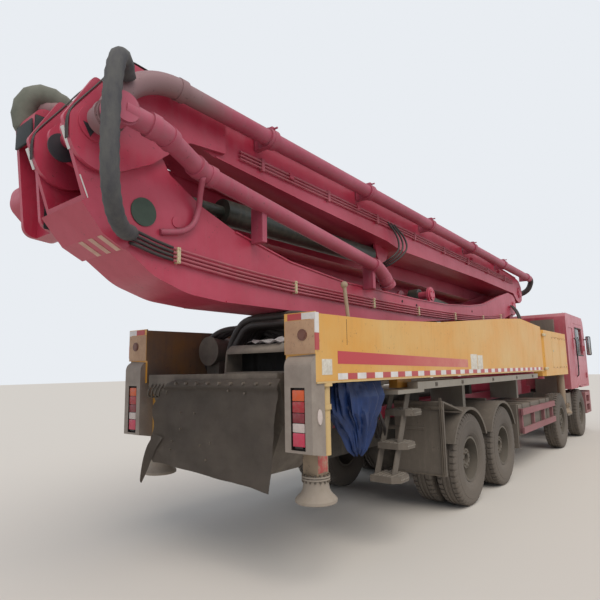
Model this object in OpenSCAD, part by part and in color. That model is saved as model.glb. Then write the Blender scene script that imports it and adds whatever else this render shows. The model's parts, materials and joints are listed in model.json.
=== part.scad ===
// Concrete pump truck: four-axle carrier, side outrigger beams and a folded five-arm boom.
// X points to the cab, Y to the left, Z up; the origin is on the ground under the middle.

/* [Wheels] */
// Outer radius of every tyre
tyre_r = 560; // [520:5:590]
// Width of one tyre
tyre_w = 290; // [260:5:310]
// Radius of the rim under the tyre's bead
rim_r = 275; // [250:5:290]
// Distance from the middle plane to a front wheel's middle
front_track = 1095; // [1080:5:1110]
// Distance from the middle plane to an outer rear wheel's middle
rear_track = 1090; // [1080:5:1100]
// Distance between the middles of two twin tyres
twin_gap = 320; // [312:2:330]
// First steered axle's place
axle_1_x = 5600; // [5560:10:5640]
// Second steered axle's place
axle_2_x = 3410; // [3390:10:3430]
// Front driven axle's place
axle_3_x = -620; // [-640:10:-600]
// Rear driven axle's place
axle_4_x = -1970; // [-2000:10:-1950]

/* [Chassis] */
// Rear end of the frame rails
rail_back = -4150; // [-4180:10:-4100]
// Front end of the frame rails
rail_front = 6850; // [6800:10:6880]
// Height of a rail's top above the ground
rail_top = 1080; // [1070:5:1090]
// Height of a frame rail
rail_h = 300; // [280:5:320]
// Half the frame's outer width
rail_y = 430; // [420:5:440]
// Width of a rail's flange
rail_flange = 80; // [70:5:90]
// Thickness of rail and bracket plate
plate_t = 12; // [10:1:16]

/* [Side beams] */
// Rear end of the side beams
beam_back = -5250; // [-5260:5:-5240]
// Front end of the side beams
beam_front = 2140; // [2130:5:2145]
// Inner face of the side beams
beam_in = 950; // [940:5:960]
// Outer face of the side beams
beam_out = 1250; // [1240:5:1260]
// Height of the side beams' underside
beam_low = 1600; // [1590:5:1610]
// Rear end of the front legs
box_back = 2200; // [2195:5:2210]
// Front end of the front legs
box_front = 4330; // [4300:10:4340]
// Height of the front legs' underside
box_low = 1500; // [1490:5:1510]
// Height of the front legs' top
box_top = 2400; // [2380:5:2405]
// Height of a rear jack's foot at rest
rear_foot_z = 650; // [620:10:680]
// Height of a front jack's foot at rest
front_foot_z = 640; // [600:10:700]
// Radius of a rear jack's foot
rear_foot_r = 210; // [190:5:215]
// Radius of a front jack's foot
front_foot_r = 175; // [160:5:180]

/* [Cab] */
// Cab's rear wall
cab_back = 4600; // [4590:5:4620]
// Cab's front
cab_front = 6990; // [6970:5:7000]
// Half the cab's width
cab_y = 1240; // [1220:5:1245]
// Cab's underside
cab_low = 1150; // [1140:5:1160]
// Cab's roof
cab_top = 2930; // [2880:10:2935]
// Thickness of the cab's walls and doors
cab_wall = 40; // [30:2:50]
// Gap round a door
door_gap = 6; // [5:1:8]

/* [Boom] */
// Middle plane of the two visible arms
arm_y = -180; // [-184:1:-176]
// Width of the two visible arms
arm_w = 550; // [540:2:552]
// Thickness of an arm's side plates
web_t = 40; // [30:2:42]
// Radius of the boom's hinge pins
pin_r = 60; // [50:2:64]
// Running clearance of a pin in its bore
pin_gap = 0.3; // [0.2:0.05:0.5]
// Outer diameter of the delivery pipe
pipe_d = 150; // [140:2:156]

/* [Hidden] */
$fn = 48;
LEFT = 1;
RIGHT = -1;
seat = 0.3;

// Heights that follow from the chosen sizes
rail_low = rail_top - rail_h;
sub_h = 160;
sub_top = rail_top + sub_h;
sub_y = rail_y - 10;

// Slewing axis and the boom's hinge points, as [x, z]
slew_x = 3250;
hinge_1 = [3300, 3050];
hinge_2 = [-6700, 3400];
hinge_3 = [3850, 3400];
hinge_4 = [-6540, 3150];
hinge_5 = [3450, 3420];
lift_foot = [2900, 2450];
lift_eye = [-1150, 2820];

cyl_2_rear = [-6160, 3190];
cyl_2_front = [-2380, 3240];

// Faces of the boom's side plates
web_out_r = arm_y - arm_w / 2;
web_out_l = arm_y + arm_w / 2;
root_t = 40;
web_gap = 5;
// Lateral bands of the side-folded arms, as [right face, left face]
band_b = [170, 500];
band_c = [530, 830];

// Distance from the middle plane to a king pin
kingpin_y = front_track - 235;
// Knuckle's boss round its king pin
knuckle_r = 70;
knuckle_h = 140;

// Rear jack's middle, half the width of its square leg, and the radius of its upper rod
rear_jack = [-5000, 1040];
leg_half = 128;
jack_r = 80;
front_jack = [box_front - 120, 1100];

// Radius of the cab's arch over the first wheel, and the holes for towing pins in the bumper's lip
arch_r = 640;
tow_x = cab_front;
tow_r = 18.5;

// Door hinges: the pin's place and the heights of its two knuckles
door_pin = [6703, 1254];
hinge_z = [1400, 2100];

// Hinge posts of the legs
rear_post = [1850, 1000];
front_post = [2440, 1050];
post_r = 50;

// Extrudes an XZ outline from one Y to another
module side(y0, y1) {
    translate([0, max(y0, y1), 0])
        rotate([90, 0, 0])
            linear_extrude(abs(y1 - y0))
                children();
}

// A cylinder along Y between two Y values, at an [x, z] place
module cyl_y(at, r, y0, y1) {
    translate([at[0], max(y0, y1), at[1]])
        rotate([90, 0, 0])
            cylinder(r = r, h = abs(y1 - y0));
}

// A block between two corners
module block(a, b) {
    translate([min(a[0], b[0]), min(a[1], b[1]), min(a[2], b[2])])
        cube([abs(b[0] - a[0]), abs(b[1] - a[1]), abs(b[2] - a[2])]);
}

// A round bar between two points
module bar(a, b, r) {
    d = b - a;
    translate(a)
        rotate([0, acos(d[2] / norm(d)), atan2(d[1], d[0])])
            cylinder(r = r, h = norm(d));
}

function unit(v) = v / norm(v);
function turn(u, v) = acos(max(-1, min(1, u * v)));

// Points of the arc that rounds a corner between its two neighbours
function arc_at(a, p, b, steps = 8) =
    let (o = [p[0], p[1]], u = unit([a[0], a[1]] - o), v = unit([b[0], b[1]] - o), half = turn(u, v) / 2,
        c = o + unit(u + v) * p[2] / sin(half), s = o + u * p[2] / tan(half) - c,
        way = s[0] * (v - u)[1] - s[1] * (v - u)[0] > 0 ? 1 : -1)
    [for (i = [0:steps]) let (t = way * (180 - 2 * half) * i / steps)
        c + [s[0] * cos(t) - s[1] * sin(t), s[0] * sin(t) + s[1] * cos(t)]];

// An outline whose corners are rounded; each corner is [x, z, radius], or [x, z] where it stays sharp
function rounded(pts) =
    let (n = len(pts))
    [for (i = [0:n - 1])
        each len(pts[i]) == 2 ? [pts[i]] : arc_at(pts[(i + n - 1) % n], pts[i], pts[(i + 1) % n])];

// A strip of one thickness along the left of a line of points
function ribbon(pts, t) =
    let (last = len(pts) - 1,
        way = [for (i = [0:last]) unit(pts[min(i + 1, last)] - pts[max(i - 1, 0)])])
    concat(pts, [for (i = [last:-1:0]) pts[i] + t * [-way[i][1], way[i][0]]]);

// A round pipe along points, with arcs of one radius at its bends
module pipe_run(pts, r, bend) {
    last = len(pts) - 1;
    trim = [for (i = [0:last]) i == 0 || i == last ? 0
        : bend * tan(turn(unit(pts[i] - pts[i - 1]), unit(pts[i + 1] - pts[i])) / 2)];
    for (i = [0:last - 1]) {
        u = unit(pts[i + 1] - pts[i]);
        bar(pts[i] + u * trim[i], pts[i + 1] - u * trim[i + 1], r);
    }
    for (i = [1:1:last - 1]) {
        u = unit(pts[i] - pts[i - 1]);
        v = unit(pts[i + 1] - pts[i]);
        w = unit(v - u * (v * u));
        c = pts[i] - u * trim[i] + w * bend;
        e = cross(u, w);
        multmatrix([[-w[0], u[0], e[0], c[0]], [-w[1], u[1], e[1], c[1]],
                [-w[2], u[2], e[2], c[2]], [0, 0, 0, 1]])
            rotate_extrude(angle = turn(u, v))
                translate([bend, 0])
                    circle(r = r + 8);
        for (q = [c - w * bend, c - w * bend * cos(turn(u, v)) + u * bend * sin(turn(u, v))]) {
            d = q == c - w * bend ? u : v;
            bar(q - d * 35, q + d * 35, r + 14);
        }
    }
}

// Copies a right-hand shape to the given side of the middle plane
module on_side(s) {
    if (s == RIGHT) children();
    else mirror([0, 1, 0]) children();
}

// Frame: two channel rails tied by cross tubes
module frame_rails() {
    color("dimgray") {
        for (s = [LEFT, RIGHT])
            on_side(s)
                difference() {
                    block([rail_back, -rail_y, rail_low], [rail_front, -rail_y + rail_flange, rail_top]);
                    block([rail_back - 1, -rail_y + plate_t, rail_low + plate_t],
                        [rail_front + 1, -rail_y + rail_flange + 1, rail_top - plate_t]);
                }
        for (s = [LEFT, RIGHT], x = [4650, 6770])
            on_side(s)
                block([x, -rail_y, rail_top], [x + 80, -rail_y + rail_flange, cab_low - seat]);
        for (x = [-4000, -2600, 300, 2300, 4300, 6750])
            cyl_y([x, rail_low + rail_h / 2], 60, -rail_y + plate_t, rail_y - plate_t);
    }
}

// Subframe: long members on the rails, hinge towers for the legs and the slewing column
module subframe() {
    tower_y = 640;
    ring_low = 1700;
    color("firebrick") {
        difference() {
            union() {
                for (s = [LEFT, RIGHT])
                    on_side(s)
                        block([rail_back, -sub_y, rail_top], [4300, -sub_y + 90, sub_top]);
                for (x = [-4150, 1700])
                    block([x, -sub_y, rail_top], [x + 100, sub_y, sub_top]);
                block([1650, -sub_y, sub_top], [4000, sub_y, 1500]);
                block([2650, -sub_y, 1500], [3850, sub_y, ring_low]);
                for (s = [LEFT, RIGHT])
                    on_side(s)
                        hinge_tower(tower_y);
                translate([slew_x, 0, ring_low]) cylinder(r = 520, h = 150);
            }
            translate([slew_x, 0, 1400]) cylinder(r = 300, h = 500);
        }
    }
}

// One leg tower with the plates and posts that carry a rear and a front leg
module hinge_tower(tower_y) {
    lug_r = 110;
    low_z = 1450;
    top_z = 2350;
    block([1700, -tower_y - 40, sub_top - 100], [2580, -tower_y, top_z + 45]);
    block([1700, -tower_y - 40, sub_top - 100], [2580, -sub_y, 1500]);
    for (p = [[rear_post, beam_low], [front_post, box_low]]) {
        at = p[0];
        for (z = [p[1] - 55, top_z])
            linear_extrude_at(z, 45)
                union() {
                    translate([at[0], -at[1]]) circle(r = lug_r);
                    translate([at[0] - lug_r, -at[1]]) square([2 * lug_r, at[1] - tower_y]);
                }
        translate([at[0], -at[1], p[1] - 55]) cylinder(r = post_r, h = top_z + 45 - p[1] + 55);
    }
}

// Extrudes an XY outline upwards from a height
module linear_extrude_at(z, h) {
    translate([0, 0, z])
        linear_extrude(h)
            children();
}

// Axles: two steered beams, two driven housings and the springs under the rails
module axles() {
    beam_z = 470;
    beam_t = 120;
    fork_h = 260;
    spring_t = 50;
    hub_end = 1040;
    color("dimgray") {
        for (x = [axle_1_x, axle_2_x]) {
            difference() {
                union() {
                    block([x - 60, -kingpin_y - 60, beam_z - 60], [x + 60, kingpin_y + 60, beam_z + 60]);
                    for (s = [LEFT, RIGHT])
                        on_side(s)
                            block([x - 60, -kingpin_y - 60, tyre_r - fork_h / 2],
                                [x + 60, -kingpin_y + knuckle_r + 45, tyre_r + fork_h / 2]);
                }
                for (s = [LEFT, RIGHT])
                    on_side(s)
                        translate([0, 0, tyre_r - knuckle_h / 2 - web_gap])
                            block([x - 61, -kingpin_y - 61, 0],
                                [x + 61, -kingpin_y + knuckle_r + web_gap, knuckle_h + 2 * web_gap]);
            }
            for (s = [LEFT, RIGHT])
                on_side(s) {
                    translate([x, -kingpin_y, tyre_r - fork_h / 2]) cylinder(r = 32, h = fork_h);
                    leaf_spring(x, 640, beam_z + 60, spring_t);
                }
        }
        for (x = [axle_3_x, axle_4_x]) {
            cyl_y([x, tyre_r], 95, -560, 560);
            translate([x, 0, tyre_r]) sphere(r = 230);
            for (s = [LEFT, RIGHT])
                on_side(s)
                    cyl_y([x, tyre_r], 60, -hub_end, -550);
        }
        for (s = [LEFT, RIGHT])
            on_side(s)
                bogie_spring((axle_3_x + axle_4_x) / 2, (axle_3_x - axle_4_x) / 2);
    }
}

// A bowed leaf pack whose ends meet the rail and whose middle sits on the axle
module leaf_spring(x, half, seat_z, t) {
    side(-rail_y + 5, -rail_y + 75)
        polygon([[x - half, rail_low], [x - half, rail_low - t], [x - half / 2, seat_z + 15],
            [x - 70, seat_z], [x + 70, seat_z], [x + half / 2, seat_z + 15],
            [x + half, rail_low - t], [x + half, rail_low], [x + half - 60, rail_low],
            [x + half / 2, seat_z + t + 20], [x, seat_z + t], [x - half / 2, seat_z + t + 20],
            [x - half + 60, rail_low]]);
}

// The bogie's spring: hung from the rail at its middle, with its ends on both driven axles
module bogie_spring(x, reach) {
    low = tyre_r + 90;
    side(-rail_y + 5, -rail_y + 75)
        polygon([[x - reach - 65, low], [x - reach - 65, low + 45], [x - 300, rail_low - 40], [x - 60, rail_low],
            [x + 60, rail_low], [x + 300, rail_low - 40], [x + reach + 65, low + 45],
            [x + reach + 65, low], [x + reach - 55, low], [x + 260, low + 35], [x, low + 50],
            [x - 260, low + 35], [x - reach + 55, low]]);
}

// Engine and gearbox as one plain block between the rails
module engine() {
    color("dimgray")
        block([4900, -rail_y + rail_flange + seat, 700], [6600, rail_y - rail_flange - seat, 1120]);
}

// Tanks and boxes along the frame
module tanks() {
    color("dimgray") {
        block([500, -1150, 560], [2700, -rail_y, 1060]);
        block([4430, -1150, 560], [4900, -rail_y, 1060]);
        difference() {
            block([350, rail_y, 540], [2700, 1150, 1060]);
            block([1500, rail_y + 1, 500], [1560, 1200, 1100]);
        }
        block([4430, rail_y, 560], [4900, 1150, 1060]);
    }
    color("black")
        block([4470, -1000, 1060], [4560, -500, 2780]);
}

// Side guards: two rails on each side, on posts from the tanks
module side_guards() {
    color("palevioletred")
        for (s = [LEFT, RIGHT])
            on_side(s) {
                for (z = [600, 900])
                    block([450, -1240, z], [2780, -1205, z + 100]);
                for (x = [500, 1250, 2000, 2680])
                    block([x, -1205, 600], [x + 50, -1150 - seat, 1000]);
            }
}

// Mudguards over the rear wheels, with the steps on the right behind them
module mudguards() {
    guard_r = 630;
    guard_t = 8;
    guard_in = 620;
    color("gray") {
        for (s = [LEFT, RIGHT])
            on_side(s) {
                for (x = [axle_3_x, axle_4_x])
                    side(-beam_out + 10, -guard_in)
                        difference() {
                            translate([x, tyre_r]) circle(r = guard_r + guard_t);
                            translate([x, tyre_r]) circle(r = guard_r);
                            translate([x - 2 * guard_r, tyre_r - 2 * guard_r])
                                square([4 * guard_r, 2 * guard_r + 250]);
                        }
                for (x = [axle_3_x, axle_4_x])
                    side(-beam_out + 10, -beam_out + 20)
                        difference() {
                            translate([x, tyre_r]) circle(r = guard_r + guard_t);
                            translate([x, tyre_r]) circle(r = guard_r - 25);
                            translate([x - 2 * guard_r, tyre_r - 2 * guard_r])
                                square([4 * guard_r, 2 * guard_r + 250]);
                        }
                block([-2830, -beam_out + 10, 490], [-2800, -guard_in, 1300]);
                side(-beam_out + 10, -guard_in)
                    polygon([[-2830, 1280], [-2800, 1300], [-2230, 1160], [-2230, 1180], [-2800, 1320], [-2830, 1310]]);
                block([60, -beam_out + 10, 420], [90, -guard_in, 1100]);
                for (x = [axle_3_x, axle_4_x])
                    cyl_y([x, tyre_r + guard_r + guard_t + 14], 20, -1000, -sub_y - seat);
                for (x = [-2815, 75])
                    cyl_y([x, 1000], 25, -1000, -rail_y - seat);
            }
        stair();
    }
}

// Right-hand stair: three treads with cut corners between two stringers
module stair() {
    tread_w = 300;
    tread_t = 60;
    cut = 70;
    // Treads as [rear edge, top height]
    treads = [[-3650, 1280], [-3830, 970], [-4000, 680]];
    for (t = treads)
        linear_extrude_at(t[1] - tread_t, tread_t)
            polygon([[t[0], -beam_in], [t[0], -beam_out + cut], [t[0] + cut, -beam_out],
                [t[0] + tread_w - cut, -beam_out], [t[0] + tread_w, -beam_out + cut],
                [t[0] + tread_w, -beam_in]]);
    for (y = [-beam_in - 12, -beam_in - 200])
        side(y, y + 12)
            polygon([[treads[2][0] + 60, treads[2][1] - tread_t], [treads[2][0] + 160, treads[2][1] - tread_t],
                [treads[0][0] + 200, 1449.7], [treads[0][0] + 100, 1449.7]]);
}

// Deck: walkways on brackets above the subframe, and the long light beams below the side beams
module deck() {
    color("silver")
        for (s = [LEFT, RIGHT])
            on_side(s) {
                block([-3900, -930, 1450], [1600, -360, 1490]);
                for (x = [-3850, -1300, 1400])
                    block([x, -900, sub_top - 120], [x + 100, -sub_y - seat, 1450]);
                block([-3900, -1240, 1450], [-3300, -900, 1490]);
                block([-3450, -1240, 1480], [1600, -1120, 1560]);
                for (x = [-3200, -1300, 1400])
                    block([x, -1130, 1480], [x + 80, -800, 1530]);
            }
}

// Pump unit: two pumping lines with their drive cylinders and water box
module pump_unit() {
    color("dimgray")
        for (y = [-150, 150]) {
            cyl_y_x(-4000, -2000, y, 1330, 120);
            cyl_y_x(-1700, 300, y, 1330, 75);
        }
    color("firebrick") {
        block([-2000, -sub_y, sub_top + seat], [-1700, sub_y, 1440]);
        block([300, -sub_y, sub_top + seat], [420, sub_y, 1430]);
        block([-4150, -727, 1160], [-4070, -sub_y - seat, 1210]);
    }
}

// A cylinder along X
module cyl_y_x(x0, x1, y, z, r) {
    translate([x0, y, z])
        rotate([0, 90, 0])
            cylinder(r = r, h = x1 - x0);
}

// Hopper: a tapered open bin behind the frame
module hopper() {
    t = 15;
    top = 1650;
    color("slategray") {
        for (y = [-sub_y, sub_y - 80])
            block([-4310, y, 1090], [rail_back - seat, y + 80, 1230]);
        block([-5280, -870, top - 90], [-5262, 870, top]);
        block([-4665, -880, top - 5], [-4300, 880, top + 10]);
        cyl_y_x(-4650, -4350, 660, 1930, 150);
        cyl_y_x(-4670, -4650, 660, 1930, 160);
        block([-4600, 560, top + 9], [-4400, 760, 1830]);
    }
    color("slategray")
        difference() {
            intersection() {
                side(-890, 890)
                    polygon([[-5280, top], [-4300, top], [-4300, 1000], [-4500, 780], [-4950, 780]]);
                translate([-5400, 0, 0]) rotate([90, 0, 90])
                    linear_extrude(1200)
                        polygon([[-880, top], [880, top], [880, 1350], [450, 770], [-450, 770], [-880, 1350]]);
            }
            intersection() {
                side(-890, 890)
                    polygon([[-5280 + t, top + 1], [-4300 - t, top + 1], [-4300 - t, 1000 + t],
                        [-4500, 780 + t], [-4950 + t, 780 + t]]);
                translate([-5400, 0, 0]) rotate([90, 0, 90])
                    linear_extrude(1200)
                        polygon([[-880 + t, top + 1], [880 - t, top + 1], [880 - t, 1350],
                            [450 - t, 770 + t], [-450 + t, 770 + t], [-880 + t, 1350]]);
            }
        }
}

// Grate over the hopper's mouth: a hinged frame with bars
module hopper_grate() {
    color("dimgray") {
        difference() {
            block([-5276, -876, 1650 + seat], [-4680, 876, 1684]);
            block([-5246, -846, 1650], [-4710, 846, 1700]);
        }
        for (y = [-700:100:700])
            block([-5250, y - 6, 1650 + seat], [-4700, y + 6, 1684]);
        difference() {
            side(-760, 60)
                polygon(rounded([[-4990, 1680], [-4965, 1900, 60], [-4900, 1955, 60], [-4725, 1965], [-4725, 1680]]));
            side(-750, 50)
                polygon(rounded([[-4978, 1600], [-4955, 1896, 50], [-4896, 1945, 50], [-4724, 1955], [-4724, 1600]]));
            block([-5000, -740, 1700], [-4900, 40, 1870]);
        }
    }
}

// Apron: the thick rubber flap that hangs behind the hopper
module apron() {
    color([0.25, 0.25, 0.26])
        translate([-5280 - 12 - seat, 0, 0]) rotate([90, 0, 90])
            linear_extrude(12)
                polygon([[870, 1640], [-860, 1640], [-690, 705], [860, 640]]);
}

// Loose blue cover over the pump's valve
module valve_cover() {
    color("navy")
        hull() {
            translate([-4130, -880, 1020]) sphere(r = 110, $fn = 24);
            translate([-4130, -860, 1380]) sphere(r = 165, $fn = 24);
        }
}

// Bumper: a bent front with lamp pockets and towing eyes, and the steps under the doors
module bumper() {
    front = cab_front + 45;
    color("palevioletred") {
        difference() {
            linear_extrude_at(480, 550)
                polygon([[rail_front + seat, -1240], [front - 60, -1240], [front, -1100], [front, 1100],
                    [front - 60, 1240], [rail_front + seat, 1240]]);
            block([front - 30, -650, 560], [front + 1, 650, 640]);
            block([front - 30, -650, 700], [front + 1, 650, 780]);
            for (s = [LEFT, RIGHT])
                on_side(s) {
                    block([front - 100, -1180, 620], [front + 1, -800, 860]);
                    block([front - 90, -560, 560], [front + 1, -440, 690]);
                    translate([tow_x, -500, 470]) cylinder(r = tow_r, h = 100);
                }
        }
        for (s = [LEFT, RIGHT])
            on_side(s) {
                difference() {
                    block([6250, -1240, 480], [6890, -900, 1000]);
                    block([6380, -1241, 540], [6780, -1020, 700]);
                    block([6380, -1241, 760], [6780, -1060, 920]);
                }
            }
    }
    color("white")
        for (s = [LEFT, RIGHT])
            on_side(s)
                block([front - 101, -1160, 640], [front - 75, -820, 840]);
}

// Outline of the cab from the side
module cab_outline(inset) {
    polygon(rounded([[cab_back + inset, cab_low + inset], [cab_front - inset, cab_low + inset],
        [cab_front - inset, 1900, 150], [6850 - inset, cab_top - 120, 60], [6700 - inset, cab_top - inset, 60],
        [cab_back + inset + 60, cab_top - inset, 40], [cab_back + inset, cab_top - 80, 40]]));
}

// How far forward the cab's sloping front stands at a height
function front_at(z) = cab_front + (6850 - cab_front) * (z - 1900) / (cab_top - 2020);

// Door outline, grown by a margin
module door_outline(grow) {
    polygon([[5500 - grow, 1200 - grow], [6700 + grow, 1200 - grow],
        [6700 + grow, 1950], [6640 + grow, 2720 + grow], [5500 - grow, 2720 + grow]]);
}

// Cab shell: hollow, with door openings and window openings
module cab_shell() {
    color("crimson")
        difference() {
            union() {
                side(-cab_y, cab_y) cab_outline(0);
                side(-1000, 1000)
                    polygon([[6750, 2830], [front_at(2700) + 110, 2700], [front_at(2700) + 120, 2725], [6760, 2890]]);
                for (y = [-cab_y - 10, cab_y - 1])
                    side(y, y + 11)
                        intersection() {
                            translate([axle_1_x, tyre_r]) circle(r = arch_r + 40);
                            translate([axle_1_x - arch_r, cab_low]) square([2 * arch_r, 200]);
                        }
                for (y = [-1180, 1165])
                    block([cab_back + 100, y, cab_top - 1], [6400, y + 15, cab_top + 10]);
            }
            side(-cab_y + cab_wall, cab_y - cab_wall) cab_outline(cab_wall);
            side(-cab_y - 1, cab_y + 1) door_outline(door_gap);
            grille();
            for (s = [LEFT, RIGHT])
                on_side(s)
                    side(-cab_y - 1, -cab_y + 12)
                        polygon(rounded([[4800, 2050, 60], [5350, 2050, 60], [5350, 2600, 60], [4800, 2600, 60]]));
            block([cab_back - 1, -850, 2150], [cab_back + cab_wall + 1, 850, 2700]);
            block([6600, -1130, 1960], [7100, 1130, 2760]);
            translate([axle_1_x, 0, tyre_r]) rotate([90, 0, 0])
                cylinder(r = arch_r, h = 3000, center = true);
        }
    color("black")
        for (s = [LEFT, RIGHT], z = hinge_z)
            on_side(s) {
                for (zz = [z - 40, z + 60 + seat])
                    union() {
                        translate([door_pin[0], -door_pin[1], zz]) cylinder(r = 12, h = 40 - seat);
                        block([door_pin[0], -door_pin[1] + 6, zz], [6760, -cab_y, zz + 40 - seat]);
                    }
                translate([door_pin[0], -door_pin[1], z - 40]) cylinder(r = 6, h = 140);
            }
}

// Recesses of the cab's front: slots between the grille's bars and a panel joint above them
module grille() {
    for (z = [1300:90:1750])
        block([cab_front - 25, -720, z], [cab_front + 1, 720, z + 60]);
    block([cab_front - 6, -1100, 1868], [cab_front + 1, 1100, 1876]);
}

// Seats, wheel and dashboard
module cab_interior() {
    color("dimgray")
        for (y = [-600, 600]) {
            block([5350, y - 260, cab_low + cab_wall + seat], [5900, y + 260, 1650]);
            block([5250, y - 250, 1500], [5400, y + 250, 2300]);
        }
    color("black")
        block([6500, -1150, 1500], [cab_front - cab_wall - seat, 1150, 1850]);
}

// Windscreen and rear window
module cab_glass() {
    color([0.2, 0.3, 0.3, 0.5])
        block([cab_back + 15, -850, 2150], [cab_back + 20, 850, 2700]);
    color([0.2, 0.3, 0.3, 0.5])
        side(-1130, 1130)
            polygon([for (q = [[-20, 1960], [-14, 1960], [-14, 2760], [-20, 2760]]) [front_at(q[1]) + q[0], q[1]]]);
}

// Mirrors on arms ahead of the doors
module mirrors() {
    color("black")
        for (s = [LEFT, RIGHT])
            on_side(s) {
                translate([6760, 0, 0]) rotate([90, 0, 90])
                    linear_extrude(60)
                        polygon(rounded([[-1400, 1950, 30], [-1290, 1950, 30], [-1290, 2450, 30], [-1400, 2450, 30]]));
                block([6775, -1290, 2350], [6800, -cab_y - seat, 2380]);
            }
}

// One cab door
module door(s) {
    color("crimson")
        on_side(s)
            difference() {
                union() {
                    side(-cab_y, -cab_y + cab_wall) door_outline(0);
                    for (z = hinge_z) {
                        translate([door_pin[0], -door_pin[1], z]) cylinder(r = 12, h = 60);
                        block([6640, -door_pin[1] + 6, z], [door_pin[0], -cab_y, z + 60]);
                    }
                }
                side(-cab_y - 1, -cab_y + cab_wall + 1)
                    polygon(rounded([[5620, 1950, 60], [6560, 1950, 60], [6520, 2620, 60], [5620, 2620, 60]]));
                block([5600, -cab_y - 1, 1640], [5760, -cab_y + 15, 1700]);
                block([5560, -cab_y - 1, 1840], [6640, -cab_y + 6, 1850]);
                for (z = hinge_z)
                    translate([door_pin[0], -door_pin[1], z - 1]) cylinder(r = 6 + seat, h = 62);
            }
}

// Steering knuckle with the spindle that carries a front wheel
module knuckle(x, s) {
    color("dimgray")
        on_side(s)
            difference() {
                union() {
                    translate([x, -kingpin_y, tyre_r - knuckle_h / 2]) cylinder(r = knuckle_r, h = knuckle_h);
                    cyl_y([x, tyre_r], 70, -kingpin_y - 100, -kingpin_y);
                    cyl_y([x, tyre_r], 50, -front_track - 40, -kingpin_y);
                }
                translate([x, -kingpin_y, 0]) cylinder(r = 32 + pin_gap, h = 1000);
            }
}

// Tyre section turned round the wheel's axis
module tyre(x, y) {
    w = tyre_w / 2;
    color([0.3, 0.28, 0.27])
        translate([x, y, tyre_r]) rotate([90, 0, 0])
            rotate_extrude($fn = 64)
                polygon([[rim_r + 0.3, -w + 40], [rim_r + 90, -w], [tyre_r - 90, -w], [tyre_r - 25, -w + 25],
                    [tyre_r, -w + 60], [tyre_r, w - 60], [tyre_r - 25, w - 25], [tyre_r - 90, w],
                    [rim_r + 90, w], [rim_r + 0.3, w - 40]]);
}

// Rim and hub of a front wheel
module front_rim(x, s) {
    color("silver")
        on_side(s)
            translate([x, -front_track, tyre_r]) rotate([90, 0, 0])
                rotate_extrude($fn = 64)
                    polygon([[50.3, -60], [110, -60], [120, 30], [250, 60], [250, -115], [rim_r, -115],
                        [rim_r, 125], [255, 125], [255, 75], [110, 60], [100, 110], [50.3, 110]]);
}

// Rim and hub of a twin rear wheel
module rear_rim(x, s) {
    g = twin_gap;
    color("silver")
        on_side(s)
            translate([x, -rear_track, tyre_r]) rotate([90, 0, 0])
                rotate_extrude($fn = 64)
                    polygon([[60.3, -g / 2 - 60], [150, -g / 2 - 60], [150, -g / 2 - 20], [250, -g / 2 - 20],
                        [250, -g - 115], [rim_r, -g - 115], [rim_r, 115], [250, 115],
                        [250, -g / 2 + 20], [140, -g / 2 + 20], [120, 60], [60.3, 60]]);
}

// Both tyres of a rear wheel
module rear_tyres(x, s) {
    on_side(s) {
        tyre(x, -rear_track);
        tyre(x, -rear_track + twin_gap);
    }
}

// Front tyre
module front_tyre(x, s) {
    on_side(s) tyre(x, -front_track);
}

// Profile of the side beam seen from the side
module beam_outline() {
    polygon([[beam_back, beam_low], [beam_front, beam_low], [beam_front, 2430], [2040, 2445],
        [670, 2510], [-470, 2430], [-2800, 2230], [-4250, 2160], [beam_back, 2150]]);
}

// Rear leg: the long yellow side beam with its lamp housing and the sleeve of its jack
module leg_rear(s) {
    wall = 20;
    color([0.84, 0.64, 0.24])
        on_side(s)
            difference() {
                union() {
                    intersection() {
                        side(-beam_out, -beam_in) beam_outline();
                        linear_extrude_at(0, 3000)
                            polygon([[beam_back, -beam_out], [beam_front - 100, -beam_out],
                                [beam_front, -beam_out + 100], [beam_front, -beam_in], [beam_back, -beam_in]]);
                    }
                    block([beam_back, -beam_out - 12, beam_low], [beam_front - 110, -beam_in, beam_low + 14]);
                    block([beam_back - 16, -beam_out - 12, 1830], [beam_back, -beam_in, 2162]);
                    block([rear_jack[0] - leg_half - wall, -rear_jack[1] - leg_half - wall, 1050],
                        [rear_jack[0] + leg_half + wall, -rear_jack[1] + leg_half + wall, beam_low + 1]);
                    lamp_housing();
                    translate([beam_back + 160, -1212, 1040]) cylinder(r = 40, h = beam_low - 1039);
                    translate([beam_back + 160, -1212, 1400]) cylinder(r = 48, h = 30);
                    block([-3560, -1060, 1500], [-3230, -960, beam_low + 1]);
                }
                translate([rear_post[0], -rear_post[1], 0]) cylinder(r = post_r + pin_gap, h = 3000);
                block([1540, -1150, 2340], [beam_front + 1, -beam_in + 1, 2600]);
                translate([rear_jack[0], -rear_jack[1], 1500]) cylinder(r = jack_r + pin_gap, h = 570);
                translate([rear_jack[0] - leg_half - pin_gap, -rear_jack[1] - leg_half - pin_gap, 1000])
                    cube([2 * (leg_half + pin_gap), 2 * (leg_half + pin_gap), beam_low - 1000]);
            }
}

// Lamp housing behind a rear leg: a sheet box with a rounded top and a recess for the lamps
module lamp_housing() {
    back = beam_back - 60;
    front = beam_back + 110;
    difference() {
        side(-beam_out, -980)
            polygon(rounded([[back, 1075], [back, 1820, 90], [front, 1820], [front, 1045]]));
        block([back - 1, -1182, 1095], [back + 35, -1042, 1570]);
    }
    block([back + 8, -1150, 1110], [back + 40, -1074, 1555]);
}

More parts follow.
